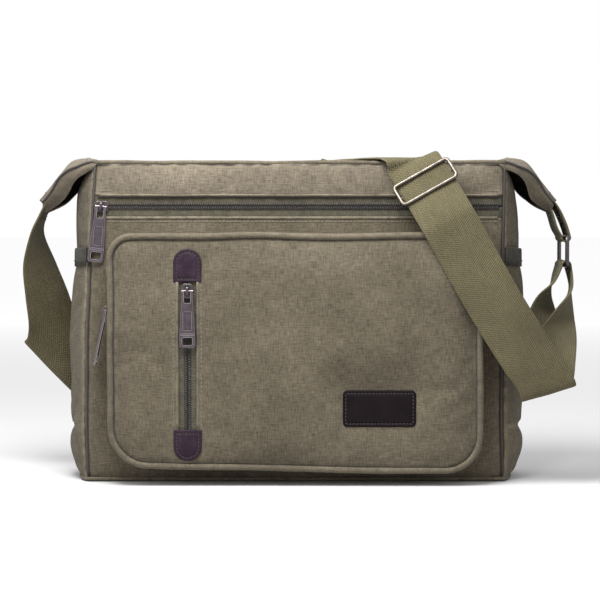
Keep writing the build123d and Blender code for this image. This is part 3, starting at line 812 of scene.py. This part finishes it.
def box_sag(x, z):
    """The pocket's outline isn't quite straight: its lower edge drops towards the right."""
    share = (x - BOX_LEFT) / (BOX_RIGHT - BOX_LEFT)
    low = smooth_step(1 - (z - BOX_LOW) / 120)
    drop = low * (1.5 - 5.0 * share) + 1.3 * ripple(x, 0, z * 0.3, 70, 1.0) * low
    drop += smooth_step((z - 150) / 60) * (1.6 * ripple(x, 0, 9, 60, 3.0))
    return x + 1.2 * ripple(0, 4, z, 55, 2.0), z + drop


def row_limits(z, inset):
    """Left and right ends of a row across the rounded pocket face."""
    def cut(gap, radius):
        return radius - sqrt(max(radius * radius - (radius - gap) ** 2, 0.0)) if gap < radius else 0.0

    cut_in = max(cut(z - BOX_LOW - inset, BOX_LOW_RADIUS - inset), cut(BOX_HIGH - inset - z, BOX_TOP_RADIUS - inset))
    return BOX_LEFT + inset + cut_in, BOX_RIGHT - inset - cut_in


def make_box_pocket():
    inset = 3.6

    def crown(x, z):
        """How far the face stands out: padded in the middle, held flat by the zip, patches and label."""
        a = min(x - BOX_LEFT, BOX_RIGHT - x, z - BOX_LOW, BOX_HIGH - z)
        rise = 4.2 * smooth_step(a / 70)
        near_zip = max(abs(x - ZIP_X) - 12, 0) + max(abs(z - (ZIP_LOW + ZIP_HIGH) / 2) - 86, 0)
        near_label = max(abs(x - 66.5) - 31, 0) + max(abs(z - 63.5) - 16, 0)
        held = smooth_step(min(near_zip, near_label) / 34)
        wave = 1.5 * ripple(x, 0, z, 70, 6.0) + 0.8 * ripple(x, 3, z, 30, 8.0)
        return held * (rise + wave * smooth_step(a / 30))

    us = lines(0.0, 1.0, 0.0165)
    slot_marks = (ZIP_LOW, ZIP_HIGH)
    vs = sorted(set(lines(BOX_LOW + inset, BOX_HIGH - inset, 5.0, slot_marks) +
                    [BOX_LOW + inset + d for d in (0.8, 2.0, 4.0, 7.5)] +
                    [BOX_HIGH - inset - d for d in (0.6, 1.6, 3.2)]))
    left_slot, right_slot = ZIP_X - SLOT_HALF, ZIP_X + SLOT_HALF

    def across(share, z):
        """X of a grid column: the columns beside the zip stay straight."""
        left, right = row_limits(z, inset)
        marks = [(0.0, left), (0.17, left_slot), (0.23, right_slot), (1.0, right)]
        for (a, start), (b, end) in zip(marks, marks[1:]):
            if share <= b:
                return start + (end - start) * (share - a) / (b - a)
        return right

    us = lines(0.0, 0.17, 0.017) + lines(0.17, 0.23, 0.015)[1:] + lines(0.23, 1.0, 0.0165)[1:]

    def place(share, z):
        x = across(share, z)
        left, right = row_limits(z, inset)
        near = min(x - left, right - x, z - BOX_LOW - inset, BOX_HIGH - inset - z)
        roll = 2.6 * max(0.0, 1 - near / 4.5) ** 2
        lip = 0.7 * max(0.0, 1 - abs(abs(x - ZIP_X) - SLOT_HALF) / 4) if ZIP_LOW + 2 < z < ZIP_HIGH - 3 else 0
        sx, sz = box_sag(x, z)
        return sx, BOX_FACE - crown(x, z) + roll - lip, sz

    skip = lambda share, z: 0.17 < share < 0.23 and ZIP_LOW < z < ZIP_HIGH

    def wear(share, z):
        x = across(share, z)
        left, right = row_limits(z, inset)
        near = min(x - left, right - x, z - BOX_LOW - inset, BOX_HIGH - inset - z)
        slot = 1 - abs(abs(x - ZIP_X) - SLOT_HALF) / 3 if ZIP_LOW < z < ZIP_HIGH else 0
        return max(0.0, 1 - near / 4, slot * 0.7)

    face = sheet_piece("canvas_box_pocket_face", us, vs, place, "canvas", skip, wear,
                       uv=lambda share, z: (across(share, z), z))

    def held(p):
        left, right = row_limits(min(max(p.z, BOX_LOW + inset), BOX_HIGH - inset), inset)
        return (p.x < left + 3 or p.x > right - 3 or p.z < BOX_LOW + inset + 4 or p.z > BOX_HIGH - inset - 4 or
                (abs(p.x - ZIP_X) < 14 and 16 < p.z < 198) or (abs(p.x - 66.5) < 30 and abs(p.z - 63.5) < 15))

    settle(face, held, 0.010, (0, -4.0, -3.5), 3.5, frames=26, stiff=10.0)
    thicken(face, 1.5)
    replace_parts(face, "box_pocket_face")

    outline = box_outline(0.4)
    loop = outline + outline[:1]
    count = len(loop)
    ys = lines(BOX_FACE + 2.5, FRONT_Y + 1.5, 3.6)

    def gusset_place(index, y):
        x, z = loop[int(index)]
        sx, sz = box_sag(x, z)
        share = (y - ys[0]) / (ys[-1] - ys[0])
        swell = 1.6 * sin(pi * share) + 1.2 * share
        centre_x, centre_z = (BOX_LEFT + BOX_RIGHT) / 2, (BOX_LOW + BOX_HIGH) / 2
        shape = (1 + swell / (BOX_RIGHT - centre_x), 1 + 0.6 * swell / (BOX_HIGH - centre_z))
        return centre_x + (sx - centre_x) * shape[0], y, centre_z + (sz - centre_z) * shape[1]

    run = [0.0]
    for a, b in zip(loop, loop[1:]):
        run.append(run[-1] + sqrt((a[0] - b[0]) ** 2 + (a[1] - b[1]) ** 2))

    def gusset_skip(index, y):
        x, z = loop[int(index)]
        return x < BOX_LEFT + 3 and 52 < z < 188 and -68 < y < -49

    band = sheet_piece("canvas_box_pocket_gusset", list(range(count)), ys, gusset_place, "canvas", gusset_skip,
                       uv=lambda index, y: (y, run[int(index)]), flip=True)
    thicken(band, 1.5)
    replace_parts(band, "box_pocket_gusset")
    rim = [box_sag(x, z) for x, z in box_outline(1.9)]
    piping = tube("piping_box_pocket", [(x, BOX_FACE + 0.6, z) for x, z in rim], 2.5, "canvas", closed=True,
                  lumps=0.07, wear=0.22, sides=12)
    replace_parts(piping, "box_pocket_piping")
    # Painted shadow: a thin dark tube sunk in the groove inside the pocket's piping.
    seam = [box_sag(x, z) for x, z in box_outline(4.6)]
    tube("box_pocket_groove_shadow", [(x, BOX_FACE + 2.1, z) for x, z in seam], 0.8, "dark_thread", closed=True)
    return face


# ---------------------------------------------------------------- zips
def capsules(name, items, material, body=BAG):
    """Many small rounded bars: (centre, long axis, up, length, half width, height)."""
    points, faces = [], []
    rings = [(-0.5, 0.45), (-0.36, 0.95), (0.36, 0.95), (0.5, 0.45)]
    sides = 6
    for centre, long_axis, up, length, wide, high in items:
        side = long_axis.cross(up)
        base = len(points)
        for share, size in rings:
            for k in range(sides):
                angle = 2 * pi * (k + 0.5) / sides
                points.append(centre + long_axis * share * length + side * cos(angle) * size * wide +
                              up * sin(angle) * size * high)
        for i in range(len(rings) - 1):
            for k in range(sides):
                a, b = base + i * sides + k, base + i * sides + (k + 1) % sides
                faces.append((a, b, b + sides, a + sides))
        faces.append(tuple(base + k for k in range(sides))[::-1])
        faces.append(tuple(base + (len(rings) - 1) * sides + k for k in range(sides)))
    return add_piece(name, points, faces, material, body)


def make_zip(name, origin, travel, out, low, high, sway=0.0):
    """Closed coil zip: two ribbed tapes and two rows of coil teeth that interlock."""
    origin, travel, out = Vector(origin), Vector(travel), Vector(out)
    side = out.cross(travel)

    def bend(run):
        return out * sway * ripple(run, 0, 0, 60, 2.0)

    for sign, word in ((-1, "low"), (1, "high")):
        def place(across, run):
            dip = 0.35 * (1 - ((across - 5) / 5) ** 2)
            return origin + travel * run + side * sign * across + out * (dip - 0.4) + bend(run)

        tape = sheet_piece(f"zip_tape_{name}_{word}", [0.5, 2.0, 3.2, 4.5, 6.5, 8.5, 10.2], lines(low, high, 6.0),
                           place, "tape", flip=sign < 0)
        thicken(tape, 0.7, levels=0)
        if sign < 0:
            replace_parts(tape, f"{name}_zip_tapes")
    pitch = 1.5
    items = []
    for i in range(int((high - low - 4) / pitch)):
        for sign in (-1, 1):
            run = low + 2 + (i + (0.5 if sign > 0 else 0.0)) * pitch
            slant = (side * sign + travel * 0.18).normalized()
            centre = origin + travel * run + side * sign * 1.35 + out * 0.75 + bend(run)
            items.append((centre, slant, out, 3.1, 0.62, 0.95))
    teeth = capsules(f"zip_teeth_{name}", items, "teeth")
    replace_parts(teeth, f"{name}_zip_teeth")
    rows = [[origin + travel * run + side * sign * 4.4 + out * 0.45 + bend(run) for run in lines(low + 3, high - 3, 12)]
            for sign in (-1, 1)]
    stitches(f"stitches_zip_{name}", rows, tuple(out), "dark_thread", pitch=2.6, length=1.9, radius=0.3)


def make_zips():
    face_y = span("yoke_zip_tapes")[0].y
    make_zip("yoke", (0, face_y, 228.5), (1, 0, 0), (0, -1, 0), -170.5, 170.5)
    make_zip("back", (0, -face_y, 214.0), (-1, 0, 0), (0, 1, 0), -115, 115)
    make_zip("top", (0, 0, span("top_zip_tapes")[1].z), (1, 0, 0), (0, 0, 1), -168, 168)
    make_zip("side", (span("side_zip_tapes")[0].x, -58.5, 0), (0, 0, 1), (-1, 0, 0), 50, 188)
    make_zip("face", (ZIP_X, span("face_zip_tapes")[0].y, 0), (0, 0, 1), (0, -1, 0), 40, 175)
    outward = (0, -1, 0)
    slot_low, slot_high = FRONT_HIGH.z, YOKE_LOW.z
    us = lines(-166, 166, 6.0)
    tube("canvas_yoke_zip_lower_fold", [(wall_x(u, slot_low), wall_y(u, slot_low, -1) + 0.4, slot_low) for u in us],
         1.3, "canvas", wear=0.7, lumps=0.1)
    tube("canvas_yoke_zip_upper_fold", [(wall_x(u, slot_high), wall_y(u, slot_high, -1) - 0.9, slot_high) for u in us],
         # The upper fold uses the canvas painted lighter, a painted highlight.
         1.2, "canvas_top_painted_lit", wear=0.5, lumps=0.1)
    rows = [[(wall_x(u, slot_low - 3), wall_y(u, slot_low - 3, -1) - 0.15, slot_low - 3.0) for u in us],
            [(wall_x(u, slot_high + 3), wall_y(u, slot_high + 3, -1) - 1.4, slot_high + 3.4) for u in us]]
    stitches("stitches_yoke_zip", rows, outward)
    for sign in (-1, 1):
        rail = [(ZIP_X + sign * SLOT_HALF, BOX_FACE - 0.3, z) for z in lines(ZIP_LOW + 2, ZIP_HIGH - 3, 6)]
        tube(f"canvas_face_zip_{'left' if sign < 0 else 'right'}_fold", rail, 1.25, "canvas", wear=0.5, lumps=0.1)
        row = [(ZIP_X + sign * (SLOT_HALF + 3.0), BOX_FACE - 0.55, z) for z in lines(ZIP_LOW + 4, ZIP_HIGH - 5, 6)]
        stitches(f"stitches_face_zip_{'left' if sign < 0 else 'right'}", [row], outward)
        run = lines(-112, 112, 6)
        z = 214.0 + sign * 7.0
        back_rail = [(wall_x(-u, z), wall_y(u, z, 1) - 0.2, z) for u in run]
        tube(f"canvas_back_zip_{'lower' if sign < 0 else 'upper'}_fold", back_rail, 1.2, "canvas", wear=0.6, lumps=0.1)
        back_row = [(wall_x(-u, z), wall_y(u, z, 1) + 0.3, z + sign * 3.2) for u in run]
        stitches(f"stitches_back_zip_{'lower' if sign < 0 else 'upper'}", [back_row], (0, 1, 0))
        top_row = [(u, sign * 12.5, top_height(u, sign * 12.5) + 0.4) for u in lines(-164, 164, 6)]
        stitches(f"stitches_top_zip_{'front' if sign < 0 else 'back'}", [top_row], (0, 0, 1))


# ---------------------------------------------------------------- leather
def plate(name, low, high, radii, profile, base_y, material):
    """Leather piece in the XZ plane: rings of (inset, height) over its rounded outline."""
    points, faces = [], []
    for inset, height in profile:
        ring = rounded_outline((low[0] + inset, low[1] + inset), (high[0] - inset, high[1] - inset),
                               max(radii[0] - inset, 0.3), max(radii[1] - inset, 0.3), 8, 10)
        points += [(x, base_y - height + 0.12 * ripple(x, 0, z, 8), z) for x, z in ring]
        size = len(ring)
    for i in range(len(profile) - 1):
        for k in range(size):
            a, b = i * size + k, i * size + (k + 1) % size
            faces.append((a, b, b + size, a + size))
    faces.append(tuple((len(profile) - 1) * size + k for k in range(size)))
    return add_piece(name, points, faces, material)


EDGE = [(0.0, -0.6), (0.0, 0.8), (0.3, 1.25), (0.9, 1.5), (1.9, 1.55), (2.2, 1.2), (2.9, 1.2), (3.2, 1.5), (5.0, 1.6)]


def make_leather():
    for name, node, radii, material in (("upper", "zip_patch_upper", (11.2, 1.2), "leather"),
                                        ("lower", "zip_patch_lower", (1.2, 11.2), "leather"),
                                        ("label", "label_patch", (4.0, 4.0), "leather_dark")):
        low, high = span(node)
        flat = ((low.x, low.z), (high.x, high.z))
        piece = plate(f"leather_{name}", *flat, radii, EDGE, high.y, material)
        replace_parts(piece, node)
        ring = rounded_outline((low.x + 2.55, low.z + 2.55), (high.x - 2.55, high.z - 2.55),
                               max(radii[0] - 2.55, 0.4), max(radii[1] - 2.55, 0.4), 8, 10)
        path = [(x, high.y - 1.3, z) for x, z in ring]
        stitches(f"stitches_{name}_patch", [path + path[:1]], (0, -1, 0), "dark_thread", pitch=2.9, length=2.1,
                 radius=0.36)


make_box_pocket()
make_zips()
make_leather()


# ---------------------------------------------------------------- webbing
STRAP_WIDE, STRAP_THICK, LAYER = 45.0, 2.0, 1.15
RING = Vector((226.0, 0.0, 203.0))
RING_DROP, LOOP_RADIUS = 24.0, 3.5


def across(x, y, z, width=STRAP_WIDE):
    return Vector((x, y, z)).normalized() * width


def half_turn(centre, axis, width, near, away, radius, steps=6):
    """Sections round a fold about an axis, from its near side past away to the far side."""
    line = Vector(axis).normalized()
    first = Vector(near)
    first = (first - line * first.dot(line)).normalized()
    second = line.cross(first)
    if second.dot(Vector(away)) < 0:
        second = -second
    found = []
    for i in range(steps + 1):
        angle = pi * i / steps
        point = Vector(centre) + first * (radius * cos(angle)) + second * (radius * sin(angle))
        found.append((point, line * width))
    return found


def sections(rows, width=STRAP_WIDE):
    return [(Vector(centre), across(*wide, width)) for centre, wide in rows]


def shifted(route, offset):
    """Route moved along the band's own normal."""
    found = []
    for i, (centre, wide) in enumerate(route):
        run = route[min(i + 1, len(route) - 1)][0] - route[max(i - 1, 0)][0]
        found.append((centre + run.cross(wide).normalized() * offset, wide))
    return found


def curve(route, step=3.0):
    """Catmull-Rom curve through the sections, evenly filled in."""
    found = []
    for i in range(len(route) - 1):
        four = [route[max(i - 1, 0)], route[i], route[i + 1], route[min(i + 2, len(route) - 1)]]
        count = max(1, ceil((route[i + 1][0] - route[i][0]).length / step))
        for k in range(count):
            t = k / count
            weights = (-0.5 * t + t * t - 0.5 * t ** 3, 1 - 2.5 * t * t + 1.5 * t ** 3,
                       0.5 * t + 2 * t * t - 1.5 * t ** 3, -0.5 * t * t + 0.5 * t ** 3)
            found.append(tuple(sum((pair[part] * w for pair, w in zip(four, weights)), Vector())
                               for part in (0, 1)))
    return found + [route[-1]]


def ribbon(name, route, thick=STRAP_THICK, body=BAG, step=3.0, ruffle=0.35, material="webbing"):
    """Woven band with rounded selvedges along a route of (centre, across) sections."""
    route = curve(route, step)
    shares = [-0.5, -0.485, -0.45, -0.36, -0.24, -0.12, 0, 0.12, 0.24, 0.36, 0.45, 0.485, 0.5]
    edge = [0.35, 0.8, 1.0, 1.0, 0.96, 0.96, 0.98, 0.96, 0.96, 1.0, 1.0, 0.8, 0.35]
    points, uvs = [], []
    length = 0.0
    columns = len(shares)
    for i, (centre, wide) in enumerate(route):
        run = (route[min(i + 1, len(route) - 1)][0] - route[max(i - 1, 0)][0]).normalized()
        normal = run.cross(wide).normalized()
        if i:
            length += (centre - route[i - 1][0]).length
        for sign in (1, -1):
            order = list(zip(shares, edge))
            for share, size in order if sign > 0 else reversed(order):
                lift = ruffle * ripple(length, share * 60, 0, 26, 1.5) + ruffle * 0.8 * cos(share * 2 * pi)
                points.append(centre + wide * share + normal * (sign * thick / 2 * size + lift))
                uvs.append(((share + 0.5) * STRAP_WIDE, length))
    size = 2 * columns
    faces = []
    for i in range(len(route) - 1):
        for k in range(size):
            a, b = i * size + k, i * size + (k + 1) % size
            faces.append((a, b, b + size, a + size))
    faces.append(tuple(range(size))[::-1])
    faces.append(tuple((len(route) - 1) * size + k for k in range(size)))
    wear = [0.8 if k % columns in (0, columns - 1) else 0.0 for _ in route for k in range(size)]
    piece = add_piece(name, points, faces, material, body, uvs, wear)
    return piece, route, length


def box_stitches(name, route, start, end, side, body=BAG, width=0.34, material="dark_thread"):
    """Sewn box with a cross in it, on one face of a band between two of its sections."""
    def spot(along, share):
        index = start + (end - start) * along
        low = int(floor(index))
        a, b = route[low], route[min(low + 1, len(route) - 1)]
        centre = a[0].lerp(b[0], index - low)
        wide = a[1].lerp(b[1], index - low)
        run = (b[0] - a[0]).normalized()
        return centre + wide * share + run.cross(wide).normalized() * side

    corners = [(0, -width), (1, -width), (1, width), (0, width), (0, -width), (1, width), (1, -width), (0, width)]
    path = []
    for (a, p), (b, q) in zip(corners, corners[1:]):
        path += [spot(a + (b - a) * i / 5, p + (q - p) * i / 5) for i in range(5)]
    middle = route[(start + end) // 2]
    out = (route[end][0] - route[start][0]).cross(middle[1]).normalized() * (1 if side > 0 else -1)
    stitches(name, [path], tuple(out), material, 2.9, 2.1, 0.34, body)


def left_route():
    hang = sections([((-206, -1, 239), (0, 1, 0)), ((-212, -1, 230.5), (0, 1, 0)), ((-217.5, 0, 220), (0, 1, 0)), ((-222, 1, 205), (0.12, 1, 0)),
                     ((-221, 8, 180), (0.5, 0.86, 0)), ((-216, 19, 152), (0.75, 0.66, 0)),
                     ((-213, 30, 126), (0.86, 0.5, -0.05))])
    return hang + half_turn((-216, 42, 91), (0.66, 0.16, -0.72), 62, (0, -1, 0), (-1, 0, -1), 3.0)


def back_route():
    return sections([((-190, 50, 92), (0.15, 0, -1)), ((-150, 52, 96), (0.15, 0, -1)),
                     ((-105, 54, 107), (0.32, 0, -0.95)), ((-60, 55, 128), (0.5, 0, -0.86)),
                     ((-20, 55.5, 160), (0.67, 0, -0.74)), ((11, 55.5, 201), (0.82, 0, -0.57)),
                     ((32, 54.5, 243), (0.88, 0, -0.47)), ((40, 52.5, 260), (0.88, 0.1, -0.45)),
                     ((46, 45, 269), (0.88, 0.47, 0)), ((88, -41, 267.8), (0.88, 0.47, 0)),
                     ((94, -51, 265.2), (0.88, 0.2, 0.4))])


def front_route():
    slant = (0.87, 0, 0.49)
    down = sections([((99, -57, 257), slant), ((105, -63, 247), slant), ((119, -78.5, 222), slant),
                     ((128, -81.5, 206), slant), ((157, -82.5, 154), slant), ((185.5, -80.5, 108.5), slant),
                     ((198.5, -79, 89.5), (0.93, 0, 0.37))])
    return down, half_turn((203.5, -74, 80.5), (0.96, 0, 0.28), 46.3, (0, -1, 0), (0, 0, -1), 3.8)


def return_route():
    """Up behind the fold, round the ring's lower bar and back down to the fold."""
    up = sections([((206, -65, 95), (0.99, 0.1, 0.08)), ((213.5, -47, 120), (0.85, 0.5, 0.03)),
                   ((223.5, -22, 143), (0.45, 0.88, 0.05)), ((231.5, -5, 160), (0.1, 1, 0.05))], 44)
    bar = (RING.x, 0, RING.z - RING_DROP)
    turn = half_turn(bar, (0, 1, 0), 42, (1, 0, 0.1), (0, 0, 1), LOOP_RADIUS, 8)
    down = sections([((217.5, -1, 166), (0.1, 1, 0.05)), ((209, -8, 152), (0.4, 0.9, 0.0)),
                     ((205, -26, 132), (0.75, 0.66, 0.03)), ((203.5, -50, 108), (0.95, 0.3, 0.06))], 43)
    return up, turn, down


def make_strap():
    """Main layer from the left ear round to the lower right fold, the second layer under it, and the
    doubled end that goes up round the ring."""
    left, back = left_route(), back_route()
    down, fold = front_route()
    up, turn, low = return_route()
    whole = left + back + shifted(down, LAYER) + shifted(fold, LAYER)
    main, route, length = ribbon("webbing_strap_main", whole)
    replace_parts(main, "strap_left_run", "strap_back_run", "strap_outer_layer")
    inner = shifted(down[2:], -LAYER) + shifted(fold, -LAYER)
    under, _, under_length = ribbon("webbing_strap_under", inner)
    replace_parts(under, "strap_inner_layer")
    rise = shifted(fold, LAYER)[-2:] + up + turn + low + list(reversed(shifted(fold, -LAYER)[-2:]))
    end, _, end_length = ribbon("webbing_strap_return", rise, body=None)
    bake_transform(end)
    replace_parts(end, "strap_end_loop")
    box_stitches("stitches_strap_left_end", route, 4, 9, 1.35)

    tab_up = sections([((206.0, 0, 240), (0, 1, 0)), ((211.5, 0, 231), (0, 1, 0)), ((215.2, 0, 222), (0, 1, 0)),
                       ((218.6, 0, 211), (0, 1, 0))], 40)
    tab_turn = half_turn(tuple(RING), (0, 1, 0), 40, (-1, 0, 0.2), (0, 0, -1), LOOP_RADIUS, 8)
    tab_down = sections([((226.2, 0, 213), (0, 1, 0)), ((220.6, 0, 225), (0, 1, 0)), ((214.8, 0, 233.5), (0, 1, 0)),
                         ((208.5, 0, 241.5), (0, 1, 0))], 40)
    tab, tab_route, tab_length = ribbon("webbing_ring_tab", tab_up + tab_turn + tab_down, 1.7, step=2.0)
    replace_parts(tab, "ring_tab")
    last = len(tab_route) - 1
    box_stitches("stitches_ring_tab", tab_route, last - 10, last - 5, 1.15)
    return main, under, end, tab


# ---------------------------------------------------------------- ears
# Stations out along an ear: top ridge, front edge and lowest line as (x, z), half width there,
# how much of the front leg shows and how far the lower ends of the legs are drawn in.
EAR = [((166, 267.0), (166, 265.5), (170, 259), 43.5, 0.95, 0.0),
       ((175, 269.6), (174, 264.6), (175, 256.5), 42.5, 0.8, 0.02),
       ((185, 269.4), (183, 261.4), (181, 251.5), 41, 0.62, 0.05),
       ((193, 266.2), (190.5, 258.6), (187, 244.5), 37.5, 0.65, 0.1),
       ((200, 258.4), (197, 254.0), (194, 236.5), 33, 0.97, 0.22),
       ((205.5, 251.5), (201.5, 249.0), (199.5, 231.5), 29.5, 1.0, 0.34),
       ((211.5, 244.0), (206.5, 241.0), (205.5, 227.5), 26, 1.0, 0.46),
       ((219.5, 234.5), (214.5, 231.5), (214, 223.5), 23.0, 1.0, 0.5)]
LEG_LONGER = {-1: 1.32, 1: 1.0}


def station(share):
    """Smoothly interpolated ear station, share from 0 at the bag to 1 at the strap."""
    spot = share * (len(EAR) - 1)
    i = min(int(spot), len(EAR) - 2)
    t = spot - i
    four = [EAR[max(i - 1, 0)], EAR[i], EAR[i + 1], EAR[min(i + 2, len(EAR) - 1)]]
    weights = (-0.5 * t + t * t - 0.5 * t ** 3, 1 - 2.5 * t * t + 1.5 * t ** 3,
               0.5 * t + 2 * t * t - 1.5 * t ** 3, -0.5 * t * t + 0.5 * t ** 3)
    flat = [(*a, *b, *c, half, leg, draw) for a, b, c, half, leg, draw in four]
    return [sum(row[k] * w for row, w in zip(flat, weights)) for k in range(len(flat[0]))]


def make_ears():
    """Ends of the top panels, folded down over the gussets and drawn in to the strap ends."""
    turns = lines(-1.0, 1.0, 0.055)
    runs = lines(0.0, 1.0, 0.04)
    made = []
    for side, word in ((-1, "left"), (1, "right")):
        def place(turn, run):
            top_x, top_z, edge_x, edge_z, low_x, low_z, half, leg, draw = station(run)
            near = abs(turn)
            sign = 1 if turn > 0 else -1
            if near < 0.55:
                share = near / 0.55
                dome = share ** 2.2
                x, z = top_x + (edge_x - top_x) * dome, top_z + (edge_z - top_z) * dome
                y = half * share ** 0.9
            else:
                share = (near - 0.55) / 0.45
                reach = share * (min(leg * LEG_LONGER[side], 0.99) if sign < 0 else 1.0)
                x, z = edge_x + (low_x - edge_x) * reach, edge_z + (low_z - edge_z) * reach
                y = half * (1 - draw * reach * (0.5 + 0.5 * reach)) + 1.8 * sin(pi * reach)
            crumple = 1.5 * ripple(side * x, sign * y, z, 17, 2.0 + side) * sin(pi * min(run * 1.1, 1.0))
            return side * (x + crumple * 0.6), sign * y, z + crumple * 0.6

        def wear(turn, run):
            return max(0.0, 1 - abs(abs(turn) - 0.55) / 0.07, (abs(turn) - 0.93) / 0.07)

        # The ears use the canvas painted lighter, a painted highlight for their upward faces.
        ear = sheet_piece(f"canvas_{word}_ear", turns, runs, place, "canvas_top_painted_lit", wear=wear, flip=side > 0,
                          uv=lambda turn, run: (turn * 80, run * 62))
        # The inside of the ear fold gets the near-black shade_lining: painted shade in the ear's hollow.
        ear.data.materials.append(MATERIALS["shade_lining"])
        thicken(ear, 1.6)
        ear.modifiers["cloth"].material_offset = 1
        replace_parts(ear, f"{word}_ear")
        for sign, face in ((-1, "front"), (1, "back")):
            edge = []
            for run in lines(0.0, 1.0, 0.04):
                _, _, x, z, _, _, half, _, _ = station(run)
                edge.append((side * (x + 0.3), sign * (half + 0.6), z + 0.4))
            tube(f"piping_{word}_ear_{face}", edge, 1.0, "dark_thread", lumps=0.15)
        seam = [place(turn, 0.18) for turn in lines(-0.53, 0.53, 0.05)]
        stitches(f"stitches_{word}_ear_seam", [[(x, y, z + 0.5) for x, y, z in seam]], (0, 0, 1), "thread", radius=0.3)
        box = [place(turn, run) for run, turn in
               ((0.9, -0.4), (0.9, -0.2), (0.9, 0), (0.9, 0.2), (0.9, 0.4), (0.98, 0.4), (0.98, 0), (0.98, -0.4))]
        out = (side * 0.8, 0, 0.6)
        path = [(x + side * 0.25, y, z + 0.2) for x, y, z in box]
        stitches(f"stitches_{word}_ear_end", [path + path[:1]], out, "dark_thread", 2.9, 2.2, 0.35)
        made.append(ear)
    return made


# ---------------------------------------------------------------- carried-over hardware and inside
def dress_nodes():
    """Finishes for the metal pieces that move and for what can be seen inside the bag."""
    finishes = {"strap_ring": "dark_ring", "buckle_frame": "nickel", "buckle_bar": "nickel", "base_board": "board"}
    for zip_name in ("top", "yoke", "back", "side", "face"):
        finishes[f"{zip_name}_zip_slider"] = "dark_ring"
        finishes[f"{zip_name}_zip_pull"] = "gunmetal"
    for node in ("lining", "padded_divider", "inner_slip_pocket", "yoke_pocket_bag", "back_pocket_bag",
                 "face_pocket_bag"):
        finishes[node] = "lining"
    for node, finish in finishes.items():
        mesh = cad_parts[node].data
        mesh.materials.clear()
        mesh.materials.append(MATERIALS[finish])


make_strap()
make_ears()
dress_nodes()
